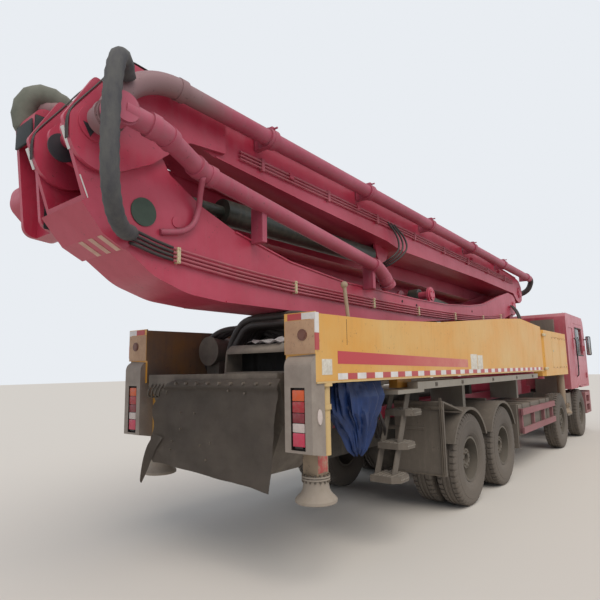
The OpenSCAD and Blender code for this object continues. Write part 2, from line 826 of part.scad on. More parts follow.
// Front leg: the yellow box beside the slewing column
module leg_front(s) {
    color([0.84, 0.64, 0.24])
        on_side(s)
            difference() {
                linear_extrude_at(box_low, box_top - box_low)
                    polygon([[box_back + 60, -beam_out], [box_front, -beam_out], [box_front, -beam_in],
                        [box_back, -beam_in], [box_back, -beam_out + 60]]);
                translate([front_post[0], -front_post[1], 0]) cylinder(r = post_r + pin_gap, h = 3000);
                for (q = [[2900, 3590], [3650, 4240]])
                    difference() {
                        block([q[0], -beam_out - 1, 1640], [q[1], -beam_out + 8, 2290]);
                        block([q[0] + 12, -beam_out - 2, 1652], [q[1] - 12, -beam_out + 9, 2278]);
                    }
                block([box_back - 1, -1180, 2340], [2720, -beam_in + 1, 2600]);
                translate([front_jack[0], -front_jack[1], 1400]) cylinder(r = jack_r + pin_gap, h = 900);
            }
}

// Jack: a leg in its sleeve, a bolted flange and a bell-shaped cast foot
module jack(at, foot_z, top_z, square_z, foot_r) {
    color("tan")
        translate([at[0], -at[1], 0]) {
            translate([0, 0, foot_z])
                rotate_extrude()
                    polygon([[0, 0], [foot_r, 0], [foot_r + 5, 25], [150, 60], [128, 100], [125, 150],
                        [152, 152], [152, 172], [126, 174], [126, 188], [152, 190], [152, 210],
                        [jack_r, 212], [jack_r, top_z - foot_z], [0, top_z - foot_z]]);
            if (square_z > 0)
                block([-leg_half, -leg_half, foot_z + 205], [leg_half, leg_half, square_z]);
        }
}

// Turret: slewing base, column, ears of the lift cylinder and the boom's first pin
module turret() {
    hub_r = 150;
    color("crimson") {
        difference() {
            union() {
                translate([slew_x, 0, 1850 + seat]) cylinder(r = 620, h = 100);
                block([2780, arm_y - 220, 1950], [3560, arm_y + 220, 2100]);
                side(arm_y - 220, arm_y + 220)
                    polygon([[2760, 2100], [3560, 2100], [3420, 2230], [3380, 2700], [3440, 3050], [3160, 3050],
                        [3150, 2560], [2790, 2450]]);
                cyl_y(hinge_1, hub_r, web_out_r + web_t + web_gap, web_out_l - web_t - web_gap);
                cyl_y(lift_foot, 100, arm_y - 220, arm_y + 220);
            }
            block([2600, arm_y - 85, 2200], [3200, arm_y + 85, 2900]);
        }
        cyl_y(hinge_1, pin_r, web_out_r - 20, web_out_l + 20);
    }
}

// Arm 1's upper and lower lines, from the tail to the turret, as [x, z]
arm_1_top = [[-5720, 3070], [-5340, 2940], [-4570, 2790], [-3570, 2710], [-1750, 2700], [-650, 2720],
    [450, 2800], [1250, 2900], [2250, 3150]];
arm_1_low = [[-5450, 2290], [-2650, 2290], [-1750, 2360], [-630, 2460], [450, 2540], [1650, 2560], [2350, 2660]];

// Arm 1's outline from the side
module arm_1_outline() {
    polygon(rounded(concat([[-6720, 2850], [-6440, 2600, 500], [-6180, 2420, 500], [-5850, 2320, 700]],
        arm_1_low, [[3150, 2850], [3300, 2820, 100], [3450, 2880, 100], [3530, 3050, 150],
        [3450, 3220, 100], [3300, 3280, 100], [2950, 3300, 200]],
        [for (i = [len(arm_1_top) - 1:-1:0]) arm_1_top[i]],
        [[-6050, 3250], [-6350, 3700, 80], [-6700, 3780, 40], [-6910, 3400, 60]])));
}

// Arm 1: box beam with open tail plates and a fork round the lift cylinder
module arm_1() {
    lip = 14;
    color("crimson")
        difference() {
            union() {
                side(web_out_r, web_out_l)
                    union() {
                        arm_1_outline();
                        translate(lift_eye) circle(r = 120);
                    }
                side(web_out_r - lip, web_out_l + lip)
                    polygon(ribbon([for (i = [1:len(arm_1_top) - 1]) arm_1_top[i] - [0, lip]], lip));
                side(web_out_r - lip, web_out_l + lip)
                    polygon(ribbon(arm_1_low, lip));
                side(web_out_r - lip, web_out_l + lip)
                    polygon([[-6765, 2850], [-6700, 2895], [-6500, 2760], [-6380, 2620], [-6440, 2575], [-6600, 2655]]);
                for (p = [[-5980, 2880], [-4700, 2520], [-2000, 2500]])
                    cyl_y(p, 45, web_out_r - 8, web_out_l + 8);
            }
            side(web_out_r + web_t, web_out_l - web_t)
                polygon([[-1500, 2000], [3900, 2000], [3900, 3600], [-1500, 3600]]);
            side(web_out_r + web_t, web_out_l - web_t)
                polygon([[-7000, 2930], [-6650, 2900], [-6400, 2930], [-6000, 3000], [-5600, 3060],
                    [-5600, 4100], [-7000, 4100]]);
            cyl_y(hinge_1, pin_r + pin_gap, web_out_r - 1, web_out_l + 1);
            cyl_y(hinge_2, pin_r + pin_gap, web_out_r - 1, web_out_l + 1);
        }
    color("crimson")
        cyl_y(lift_eye, pin_r, web_out_r + 1, web_out_l - 1);
}

// Arm 2's lower and upper lines in front of its root, as [x, z]
arm_2_low = [[-5580, 3550], [-4390, 3480], [-2550, 3400], [-2150, 3340], [1150, 3360], [3400, 3330]];
arm_2_top = [[-5500, 3925], [-1500, 3885], [1150, 3855], [3600, 3730]];

// Arm 2: root plates beside arm 1's tail plates, box beam and tip with the third pin
module arm_2() {
    lip = 14;
    root_outline = rounded([[-6885, 3420, 100], [-6880, 3140, 220], [-6620, 3060, 260], [-6250, 3260, 250],
        [-5900, 3560, 150], [-5500, 3600], [-5500, 3920], [-5950, 3960], [-6480, 3990, 60]]);
    root_y = [web_out_r - web_gap - root_t, web_out_l - web_t - web_gap - root_t];
    color("crimson") {
        side(web_out_r, web_out_l)
            polygon(rounded(concat([[-6150, 3750], [-5900, 3620]], arm_2_low,
                [[3620, 3200, 80], [3850, 3150, 150], [4050, 3230, 100], [4110, 3400, 120], [4050, 3560, 100]],
                [[3900, 3680, 80]], [for (i = [len(arm_2_top) - 1:-1:0]) arm_2_top[i]], [[-5950, 3950], [-6150, 3950]])));
        side(web_out_r - lip, web_out_l + lip)
            polygon(ribbon(arm_2_low, lip));
        side(web_out_r - lip, web_out_l + lip)
            polygon(ribbon([for (q = arm_2_top) q - [0, lip]], lip));
        for (y = root_y)
            side(y, y + root_t)
                polygon(root_outline);
        side(web_out_r - web_gap, web_out_r)
            polygon([[-6100, 3740], [-5900, 3630], [-5500, 3600], [-5500, 3900], [-6100, 3900]]);
        cyl_y(hinge_2, pin_r, root_y[0], web_out_l + 10);
        cyl_y(hinge_2, 130, root_y[0] - 12, root_y[0] + 1);
        cyl_y(hinge_3, pin_r, web_out_l, band_b[1]);
        for (y = [arm_y - 110, arm_y + 75]) {
            side(y, y + 35)
                polygon(rounded([[-2560, 3420], [-2500, 3220, 60], [-2380, 3130, 80], [-2260, 3200, 60], [-2160, 3360]]));
            side(y, y + 35)
                polygon(rounded([[-6850, 3420, 80], [-6780, 3280, 80], [-6250, 3090, 80], [-6090, 3090, 60],
                    [-6060, 3230, 60], [-6600, 3520, 60], [-6750, 3540, 80]]));
        }
        for (at = [cyl_2_front, cyl_2_rear])
            cyl_y(at, 40, arm_y - 110, arm_y + 110);
        for (x = [-4600, -3300, 700, 2300])
            block([x, web_out_r - 40, 3650], [x + 60, web_out_r + 1, 3710]);
    }
}

// Arm 3, folded beside arm 2
module arm_3() {
    color("crimson")
        difference() {
            side(band_b[0], band_b[1])
                polygon(rounded([[3850, 3630, 120], [3650, 3600], [-6200, 3600], [-6450, 3720], [-6840, 3735, 90],
                    [-6735, 2790, 90], [-6480, 2770, 80], [-6250, 3080], [-6000, 3150], [3600, 3150],
                    [3850, 3170, 150], [4030, 3240, 100], [4090, 3400, 120], [4010, 3570, 120]]));
            cyl_y(hinge_3, pin_r + pin_gap, band_b[0] - 1, band_b[1] + 1);
            side(band_b[0] + web_t, band_b[1] - web_t)
                polygon([[-6900, 2650], [-6640, 2650], [-6640, 3500], [-6900, 3500]]);
        }
    color("crimson")
        cyl_y(hinge_4, 50, band_b[1], band_c[1]);
}

// Arm 4, beside arm 3
module arm_4() {
    fork_t = 75;
    color("crimson")
        difference() {
            side(band_c[0], band_c[1])
                polygon(rounded([[-6540, 3330, 150], [-6700, 3280, 120], [-6720, 3100, 120], [-6600, 2980, 100],
                    [-6300, 2960], [3000, 2980], [3300, 3050], [3600, 3330, 80], [3640, 3430, 80],
                    [3560, 3550, 80], [3450, 3580], [3360, 3540], [3330, 3400], [3200, 3300], [-6300, 3300]]));
            cyl_y(hinge_4, 50 + pin_gap, band_c[0] - 1, band_c[1] + 1);
            side(band_c[0] - 1, band_c[0] + fork_t) translate([3230, 2900]) square([600, 800]);
            side(band_c[1] - fork_t, band_c[1] + 1) translate([3230, 2900]) square([600, 800]);
            cyl_y(hinge_5, 45 + pin_gap, band_c[0], band_c[1]);
        }
}

// Arm 5, above arm 4
module arm_5() {
    color("crimson") {
        side(band_c[0] + 20, band_c[1] - 20)
            polygon(rounded([[3150, 3360], [3150, 3600], [-5200, 3560], [-5500, 3520, 60], [-5500, 3400, 60],
                [-5200, 3340]]));
        for (y = [[band_c[0] + 20, band_c[0] + 65], [band_c[1] - 65, band_c[1] - 20]])
            side(y[0], y[1])
                polygon([[3000, 3370], [3350, 3330], [3450, 3320], [3540, 3360], [3560, 3440],
                    [3520, 3520], [3400, 3560], [3000, 3595]]);
        cyl_y(hinge_5, 45, band_c[0] + 20, band_c[1] - 20);
    }
}

// Lift cylinder's direction from its eye on the arm to its foot on the turret
lift_d = lift_foot - lift_eye;
lift_l = norm(lift_d);
lift_a = atan2(lift_d[1], lift_d[0]);

// Places a shape drawn along +X from the lift cylinder's eye
module at_lift() {
    translate([lift_eye[0], arm_y, lift_eye[1]])
        rotate([0, -lift_a, 0])
            children();
}

// Barrel of the lift cylinder
module lift_barrel() {
    color([0.15, 0.18, 0.16])
        at_lift()
            difference() {
                union() {
                    rotate([90, 0, 0]) cylinder(r = 110, h = 160, center = true);
                    rotate([0, 90, 0]) cylinder(r = 115, h = 2200);
                }
                rotate([90, 0, 0]) cylinder(r = pin_r + pin_gap, h = 400, center = true);
                translate([200, 0, 0]) rotate([0, 90, 0]) cylinder(r = 90.3, h = 1900);
                translate([200, 0, 0]) rotate([0, 90, 0]) cylinder(r = 70.3, h = 2100);
            }
}

// Rod of the lift cylinder, with its eye
module lift_rod() {
    color("silver")
        at_lift()
            difference() {
                union() {
                    translate([300, 0, 0]) rotate([0, 90, 0]) cylinder(r = 90, h = 100);
                    translate([300, 0, 0]) rotate([0, 90, 0]) cylinder(r = 70, h = lift_l - 300);
                    translate([lift_l, 0, 0]) rotate([90, 0, 0]) cylinder(r = 90, h = 150, center = true);
                }
                translate([lift_l, 0, 0]) rotate([90, 0, 0]) cylinder(r = pin_r, h = 400, center = true);
            }
}

// Cylinder of arm 2, under it, between two pairs of lugs
module cylinder_2() {
    a = [cyl_2_rear[0], arm_y, cyl_2_rear[1]];
    b = [cyl_2_front[0], arm_y, cyl_2_front[1]];
    u = unit(b - a);
    color([0.15, 0.18, 0.16])
        difference() {
            union() {
                bar(a + u * 900, b - u * 180, 125);
                bar(a, a + u * 900, 55);
                bar(b - u * 190, b, 70);
                cyl_y(cyl_2_rear, 85, arm_y - 74, arm_y + 74);
                cyl_y(cyl_2_front, 100, arm_y - 74, arm_y + 74);
            }
            for (at = [cyl_2_front, cyl_2_rear])
                cyl_y(at, 40 + pin_gap, arm_y - 200, arm_y + 200);
        }
}

// Swivel coupling of two delivery pipes on a hinge's axis
module swivel(at, y0, y1) {
    cyl_y(at, pipe_d / 2 + 25, y0, y1);
    cyl_y(at, pipe_d / 2 + 38, y0 + 20, y0 + 50);
}

// Delivery pipe along arm 1
module pipe_1() {
    run = [[hinge_2[0], -802, hinge_2[1]], [-6380, -802, 3370], [-5850, -600, 3295], [-2990, -600, 2930],
        [-2800, -600, 2740]];
    color("crimson") {
        swivel(hinge_2, -870, -716);
        pipe_run(run, pipe_d / 2, 450);
        for (x = [-5150, -3200])
            side(-610, web_out_r - 14 - seat)
                polygon([[x, 2660 - (x + 3150) * 0.1], [x + 60, 2660 - (x + 3150) * 0.1],
                    [x + 60, 2930 - (x + 2990) * 0.127], [x, 2930 - (x + 2990) * 0.127]]);
        bar([-2830, -600, 2770], [-2795, -600, 2735], pipe_d / 2 + 22);
    }
}

// Delivery pipe along arm 2, with its big elbow down to the hinge
module pipe_2() {
    rear_z = 3885;
    front_z = 3760;
    front_x = 4200;
    corner_x = -6500;
    drop = (rear_z - front_z) / (front_x - corner_x);
    color("tan") {
        swivel(hinge_2, -694, -560);
        pipe_run([[hinge_2[0], -620, hinge_2[1]], [corner_x, -620, rear_z], [front_x, -620, front_z]], pipe_d / 2, 600);
        for (x = [-5100:1800:3900]) {
            z = rear_z - (x - corner_x) * drop;
            block([x, -620, z - 90], [x + 60, web_out_r - 14 - seat, z + 40]);
            bar([x, -620, z], [x + 60, -620, z - 60 * drop], pipe_d / 2 + 16);
        }
    }
}

// Delivery pipe along arm 3
module pipe_3() {
    y = 335;
    color("tan") {
        pipe_run([[-6660, y + 185, 3850], [-6660, y, 3850], [3450, y, 3720]], pipe_d / 2, 120);
        for (x = [-6000:1800:3000])
            block([x, y - 60, 3600 + seat], [x + 60, y + 60, 3800]);
    }
}

frame_rails();
subframe();
axles();
engine();
tanks();
side_guards();
mudguards();
deck();
pump_unit();
hopper();
hopper_grate();
apron();
valve_cover();
bumper();
cab_shell();
cab_interior();
cab_glass();
mirrors();
door(LEFT);  // door_left
door(RIGHT);  // door_right
knuckle(axle_1_x, LEFT);  // knuckle_1_left
knuckle(axle_1_x, RIGHT);  // knuckle_1_right
knuckle(axle_2_x, LEFT);  // knuckle_2_left
knuckle(axle_2_x, RIGHT);  // knuckle_2_right
front_tyre(axle_1_x, LEFT);  // tyre_1_left
front_tyre(axle_1_x, RIGHT);  // tyre_1_right
front_tyre(axle_2_x, LEFT);  // tyre_2_left
front_tyre(axle_2_x, RIGHT);  // tyre_2_right
rear_tyres(axle_3_x, LEFT);  // tyre_3_left
rear_tyres(axle_3_x, RIGHT);  // tyre_3_right
rear_tyres(axle_4_x, LEFT);  // tyre_4_left
rear_tyres(axle_4_x, RIGHT);  // tyre_4_right
front_rim(axle_1_x, LEFT);  // rim_1_left
front_rim(axle_1_x, RIGHT);  // rim_1_right
front_rim(axle_2_x, LEFT);  // rim_2_left
front_rim(axle_2_x, RIGHT);  // rim_2_right
rear_rim(axle_3_x, LEFT);  // rim_3_left
rear_rim(axle_3_x, RIGHT);  // rim_3_right
rear_rim(axle_4_x, LEFT);  // rim_4_left
rear_rim(axle_4_x, RIGHT);  // rim_4_right
leg_rear(LEFT);  // leg_rear_left
leg_rear(RIGHT);  // leg_rear_right
leg_front(LEFT);  // leg_front_left
leg_front(RIGHT);  // leg_front_right
on_side(LEFT) jack(rear_jack, rear_foot_z, 2000, 1500, rear_foot_r);  // jack_rear_left
on_side(RIGHT) jack(rear_jack, rear_foot_z, 2000, 1500, rear_foot_r);  // jack_rear_right
on_side(LEFT) jack(front_jack, front_foot_z, 2200, 0, front_foot_r);  // jack_front_left
on_side(RIGHT) jack(front_jack, front_foot_z, 2200, 0, front_foot_r);  // jack_front_right
turret();
arm_1();
arm_2();
arm_3();
arm_4();
arm_5();
lift_barrel();
lift_rod();
cylinder_2();
pipe_1();
pipe_2();
pipe_3();
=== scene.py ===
import math

import bmesh
import bpy
import json
from mathutils import Matrix, Vector, noise


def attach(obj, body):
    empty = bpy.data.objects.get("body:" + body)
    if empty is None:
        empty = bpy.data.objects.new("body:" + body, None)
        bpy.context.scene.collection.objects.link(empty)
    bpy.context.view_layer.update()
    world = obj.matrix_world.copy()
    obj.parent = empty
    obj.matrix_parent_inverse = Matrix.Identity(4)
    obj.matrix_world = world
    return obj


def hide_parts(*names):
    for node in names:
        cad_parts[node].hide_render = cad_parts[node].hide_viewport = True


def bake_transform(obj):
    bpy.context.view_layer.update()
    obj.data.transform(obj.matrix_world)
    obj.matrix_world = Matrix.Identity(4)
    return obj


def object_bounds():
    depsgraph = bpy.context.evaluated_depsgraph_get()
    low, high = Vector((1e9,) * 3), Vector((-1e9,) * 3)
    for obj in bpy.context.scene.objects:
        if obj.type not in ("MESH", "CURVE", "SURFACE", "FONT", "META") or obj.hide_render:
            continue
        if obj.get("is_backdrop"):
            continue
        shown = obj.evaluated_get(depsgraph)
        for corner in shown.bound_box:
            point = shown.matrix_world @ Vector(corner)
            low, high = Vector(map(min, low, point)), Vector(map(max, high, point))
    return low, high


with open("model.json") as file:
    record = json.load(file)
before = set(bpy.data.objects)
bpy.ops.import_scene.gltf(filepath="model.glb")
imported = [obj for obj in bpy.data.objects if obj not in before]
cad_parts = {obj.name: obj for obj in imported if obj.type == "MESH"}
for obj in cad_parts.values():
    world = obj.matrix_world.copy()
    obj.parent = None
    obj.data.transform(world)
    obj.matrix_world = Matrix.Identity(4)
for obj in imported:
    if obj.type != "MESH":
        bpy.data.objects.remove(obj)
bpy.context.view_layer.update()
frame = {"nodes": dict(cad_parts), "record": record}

# Camera
# It stands behind the truck's right rear corner at the height of an adult's eyes, with a
# wide phone lens, turned a little upwards, as the photograph was taken.
eye = (-8.35, -3.56, 1.71)
focal_length = 29.71
yaw, pitch, roll = math.radians(38.36), math.radians(8.0), math.radians(-1.05)
ahead = Vector((math.cos(yaw) * math.cos(pitch), math.sin(yaw) * math.cos(pitch), math.sin(pitch)))
level = Vector((math.sin(yaw), -math.cos(yaw), 0))
above = level.cross(ahead)
right = math.cos(roll) * level + math.sin(roll) * above
upward = math.cos(roll) * above - math.sin(roll) * level
camera = bpy.data.objects.new("camera", bpy.data.cameras.new("camera"))
camera.data.lens = focal_length
camera.data.clip_end = 400
camera.matrix_world = Matrix.Translation(eye) @ Matrix((right, upward, -ahead)).transposed().to_4x4()
bpy.context.scene.collection.objects.link(camera)
bpy.context.scene.camera = camera
bpy.context.scene.view_settings.view_transform = "Standard"


# Floor and light
# A plain pale floor and sky. The light is that of a bright overcast day: soft from all
# sides, with one very wide lamp from high on the right, so that shadows stay faint.
def linear(code):
    """An sRGB hex colour as linear red, green, blue and alpha."""
    parts = [int(code[i:i + 2], 16) / 255 for i in (1, 3, 5)]
    return [p / 12.92 if p <= 0.04045 else ((p + 0.055) / 1.055) ** 2.4 for p in parts] + [1]


def add(tree, kind, inputs=None, **settings):
    """Adds a node with its settings; an input is a value, a socket or a node's first output."""
    node = tree.nodes.new(kind)
    for key, value in settings.items():
        setattr(node, key, value)
    for key, value in (inputs or {}).items():
        if isinstance(value, bpy.types.Node):
            value = next(output for output in value.outputs if output.enabled)
        if isinstance(value, bpy.types.NodeSocket):
            tree.links.new(value, node.inputs[key])
        else:
            node.inputs[key].default_value = value
    return node


def blank_material(name):
    """A new material with an empty tree."""
    material = bpy.data.materials.new(name)
    material.use_nodes = True
    material.node_tree.nodes.clear()
    return material, material.node_tree


world = bpy.data.worlds.new("overcast_sky")
world.use_nodes = True
world.node_tree.nodes.clear()
sky = world.node_tree
path = add(sky, "ShaderNodeLightPath")
direct = add(sky, "ShaderNodeMath", {0: path.outputs["Is Camera Ray"],
             1: path.outputs["Is Transmission Ray"]}, operation="MAXIMUM")
seen = add(sky, "ShaderNodeMath", {0: direct, 1: path.outputs["Is Glossy Ray"]}, operation="MAXIMUM")
plain = add(sky, "ShaderNodeBackground", {"Color": linear("#e9edf2"), "Strength": 1.0})
light = add(sky, "ShaderNodeBackground", {"Color": linear("#dfe6f0"), "Strength": 0.78})
both = add(sky, "ShaderNodeMixShader", {0: seen, 1: light, 2: plain})
add(sky, "ShaderNodeOutputWorld", {"Surface": both})
bpy.context.scene.world = world

lamp = bpy.data.objects.new("high_cloud_light", bpy.data.lights.new("high_cloud_light", "SUN"))
lamp.data.energy = 1.9
lamp.data.angle = math.radians(50)
lamp.data.color = linear("#fff6ea")[:3]
lamp.rotation_euler = (math.radians(38), 0, math.radians(-28))
bpy.context.scene.collection.objects.link(lamp)

floor_mesh = bpy.data.meshes.new("floor")
reach = 90
floor_mesh.from_pydata([(-reach, -reach, 0), (reach, -reach, 0), (reach, reach, 0), (-reach, reach, 0)], [],
                       [(0, 1, 2, 3)])
floor = bpy.data.objects.new("floor", floor_mesh)
bpy.context.scene.collection.objects.link(floor)
# Pale concrete, quite matte, so that only the truck's soft shadow shows on it
ground, ground_tree = blank_material("pale_floor")
matte = add(ground_tree, "ShaderNodeBsdfDiffuse", {"Color": linear("#cfcac3")})
add(ground_tree, "ShaderNodeOutputMaterial", {"Surface": matte})
floor_mesh.materials.append(ground)
floor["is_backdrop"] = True

# Hoses
# Black rubber hydraulic hoses with steel braid inside, crimped at both ends, and one thick
# bundle wrapped in grey woven sleeve that passes from the first arm to the second.


def lying_dust(tree, coords, dusty, low, steep, splash):
    """How much dust lies on what faces up, from a slope on, and how much is splashed from below."""
    face = add(tree, "ShaderNodeSeparateXYZ", {0: coords.outputs["Normal"]})
    up = add(tree, "ShaderNodeMapRange", {0: face.outputs["Z"], 1: steep, 2: 0.95, 4: dusty})
    height = add(tree, "ShaderNodeSeparateXYZ", {0: coords.outputs["Object"]})
    near_ground = add(tree, "ShaderNodeMapRange", {0: height.outputs["Z"], 1: splash[0], 2: splash[1],
                      4: low})
    return add(tree, "ShaderNodeMath", {0: up, 1: near_ground}, operation="MAXIMUM")


def finish_material(tree, base, cover, dust, chipped, rough, relief, metallic=0.0):
    """Ends a material: dust, which is dull, and chips down to the primer lie over its colour."""
    dusted = add(tree, "ShaderNodeMix", {0: cover, 6: base, 7: linear(dust)}, data_type="RGBA")
    final = add(tree, "ShaderNodeMix", {0: chipped, 6: dusted, 7: linear("#3b2f2a")}, data_type="RGBA")
    gloss = add(tree, "ShaderNodeMapRange", {0: cover, 1: 0.0, 2: 0.6, 3: rough, 4: 0.92})
    shader = add(tree, "ShaderNodeBsdfPrincipled", {"Base Color": final, "Roughness": gloss,
                 "Normal": relief, "Metallic": metallic})
    add(tree, "ShaderNodeOutputMaterial", {"Surface": shader})


def surface(name, colours, rough, scale=(9, 9, 9), bump=0.0, bump_size=60.0, dust="#7c7368", dusty=0.4,
            low=0.0, split=(0.35, 0.68), chips=0.0):
    """A finish of two tones mixed in patches, with dust on what faces up and near the ground.
    scale and bump_size say how many patches and grains there are to a metre."""
    material, tree = blank_material(name)
    coords = add(tree, "ShaderNodeTexCoord")
    place = coords.outputs["Object"]
    drawn = add(tree, "ShaderNodeMapping", {"Vector": place, "Scale": scale})
    patch = add(tree, "ShaderNodeTexNoise", {"Vector": drawn, "Scale": 1.0, "Detail": 6, "Roughness": 0.65})
    tone = add(tree, "ShaderNodeMapRange", {0: patch.outputs["Fac"], 1: split[0], 2: split[1]})
    body = add(tree, "ShaderNodeMix", {0: tone, 6: linear(colours[0]), 7: linear(colours[1])},
               data_type="RGBA")
    grains = add(tree, "ShaderNodeTexNoise", {"Vector": place, "Scale": bump_size, "Detail": 5,
                 "Roughness": 0.7})
    lying = lying_dust(tree, coords, dusty, low, steep=0.05, splash=(1.5, 0.2))
    uneven = add(tree, "ShaderNodeMapRange", {0: grains.outputs["Fac"], 1: 0.3, 2: 0.65, 3: 0.45, 4: 1.2})
    cover = add(tree, "ShaderNodeMath", {0: lying, 1: uneven}, operation="MULTIPLY", use_clamp=True)
    flake = add(tree, "ShaderNodeTexNoise", {"Vector": place, "Scale": 48, "Detail": 3, "Roughness": 0.55})
    chipped = add(tree, "ShaderNodeMapRange", {0: flake.outputs["Fac"], 1: 0.63, 2: 0.66, 4: chips})
    relief = add(tree, "ShaderNodeBump", {"Height": grains.outputs["Fac"], "Strength": 0.5,
                 "Distance": bump})
    finish_material(tree, body, cover, dust, chipped, rough, relief)
    return material


def along(points, count):
    """Evenly spaced points of one smooth curve through the given ones."""
    knots = [Vector(p) for p in points]
    ends = [2 * knots[0] - knots[1]] + knots + [2 * knots[-1] - knots[-2]]
    fine = []
    for a, b, c, d in zip(ends, ends[1:], ends[2:], ends[3:]):
        for k in range(16):
            t = k / 16
            fine.append(0.5 * (2 * b + (c - a) * t + (2 * a - 5 * b + 4 * c - d) * t * t
                               + (3 * b - a - 3 * c + d) * t ** 3))
    fine.append(knots[-1])
    run = [0.0]
    for a, b in zip(fine, fine[1:]):
        run.append(run[-1] + (b - a).length)
    way, k = [], 0
    for i in range(count):
        goal = run[-1] * i / (count - 1)
        while k < len(run) - 2 and run[k + 1] < goal:
            k += 1
        way.append(fine[k].lerp(fine[k + 1], (goal - run[k]) / max(1e-9, run[k + 1] - run[k])))
    return way


def place_mesh(name, mesh, material, body):
    """A finished mesh as a piece that moves with a body."""
    if material:
        mesh.materials.clear()
        mesh.materials.append(material)
    piece = bpy.data.objects.new(name, mesh)
    bpy.context.scene.collection.objects.link(piece)
    if body:
        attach(piece, body)
    return piece


def baked(mesh, name):
    """The gathered faces as a mesh of the scene."""
    data = bpy.data.meshes.new(name)
    mesh.to_mesh(data)
    mesh.free()
    return data


def close(mesh, name, material, body, smooth=35):
    """Turns the gathered faces outwards and makes them a piece."""
    bmesh.ops.recalc_face_normals(mesh, faces=mesh.faces)
    data = baked(mesh, name)
    if smooth:
        data.shade_smooth()
        data.set_sharp_from_angle(angle=math.radians(smooth))
    return place_mesh(name, data, material, body)


def ring(mesh, at, turn, across, r, sides):
    """Adds a ring of points round a place, in the plane of two directions."""
    angles = [2 * math.pi * k / sides for k in range(sides)]
    return [mesh.verts.new(at + r * (math.cos(a) * turn + math.sin(a) * across)) for a in angles]


def weave(mesh, rows, closed=True, smooth=False):
    """Joins rows of points with faces; closed rows are rings."""
    for a, b in zip(rows, rows[1:]):
        for k in range(len(a) if closed else len(a) - 1):
            after = (k + 1) % len(a)
            mesh.faces.new((a[k], a[after], b[after], b[k])).smooth = smooth


def tube(name, points, diameter, material, body, count=30, sides=12, ridges=0.0):
    """A closed tube along a smooth curve; ridges are the swellings of a wrapped sleeve."""
    way = along(points, count)
    mesh = bmesh.new()
    rings = []
    turn = Vector((0, 1, 0))
    for i, at in enumerate(way):
        heading = (way[min(i + 1, count - 1)] - way[max(i - 1, 0)]).normalized()
        turn = (turn - heading * turn.dot(heading)).normalized()
        r = diameter / 2 * (1 - ridges * (i % 2))
        rings.append(ring(mesh, at, turn, heading.cross(turn), r, sides))
    weave(mesh, rings, smooth=True)
    mesh.faces.new(rings[0])
    mesh.faces.new(rings[-1])
    return close(mesh, name, material, body, smooth=0), way


def hose(name, points, diameter, material, body, count=30, ridges=0.0):
    """A hose that leaves the machine and goes back into it."""
    piece, way = tube(name, points, diameter, material, body, count, ridges=ridges)
    return piece


# Nitrile rubber hose: satin black where it is rubbed, grey with cement dust on top
hose_rubber = surface("black_hose_rubber", ("#2c2728", "#3b3534"), 0.55, bump=0.001, bump_size=220,
                      dust="#6d655c", dusty=0.5)
# Woven sleeve: dull dark grey, in ridges where it is wrapped round the hoses
sleeve_cloth = surface("grey_woven_sleeve", ("#47474b", "#5a5a58"), 0.9, scale=(14, 14, 5), bump=0.006,
                       bump_size=38, dust="#6a665e", dusty=0.3)
ridge_depth = 0.07
bundle = hose("sleeved_hose_bundle", [(-6.60, -0.70, 3.715), (-6.665, -0.77, 3.765), (-6.745, -0.84, 3.74),
              (-6.80, -0.885, 3.60), (-6.83, -0.91, 3.36), (-6.83, -0.91, 3.06), (-6.79, -0.87, 2.83),
              (-6.69, -0.77, 2.70), (-6.54, -0.62, 2.665), (-6.40, -0.485, 2.70)], 0.12, sleeve_cloth, None,
              count=44, ridges=ridge_depth)
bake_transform(bundle)
for i in range(4):
    hose(f"tail_hose_{i + 1}", [(-6.46 + 0.02 * i, -0.472, 2.735 - 0.035 * i),
         (-6.36, -0.49, 2.72 - 0.034 * i), (-6.20, -0.49, 2.685 - 0.034 * i),
         (-6.03, -0.482, 2.66 - 0.032 * i)], 0.024, hose_rubber, "arm_1", count=16)
for i in range(3):
    hose(f"second_arm_hose_{i + 1}", [(-2.52 + 0.09 * i, -0.480, 3.66), (-2.42 + 0.12 * i, -0.53, 3.53),
         (-2.38 + 0.12 * i, -0.56, 3.39), (-2.42 + 0.09 * i, -0.555, 3.26),
         (-2.50 + 0.04 * i, -0.46, 3.15 - 0.02 * i), (-2.46, -0.29, 3.10 - 0.02 * i),
         (-2.42, -0.235 + 0.02 * i, 3.14)], 0.026, hose_rubber, "arm_2")
for i in range(4):
    x = 3.02 + 0.07 * i
    hose(f"turret_hose_{i + 1}", [(x, -0.425, 2.30), (x + 0.02, -0.56 - 0.02 * i, 2.48),
         (x + 0.05, -0.60, 2.72), (x + 0.03, -0.54, 2.92), (x - 0.04, -0.48, 3.02)], 0.03, hose_rubber,
         "turret")
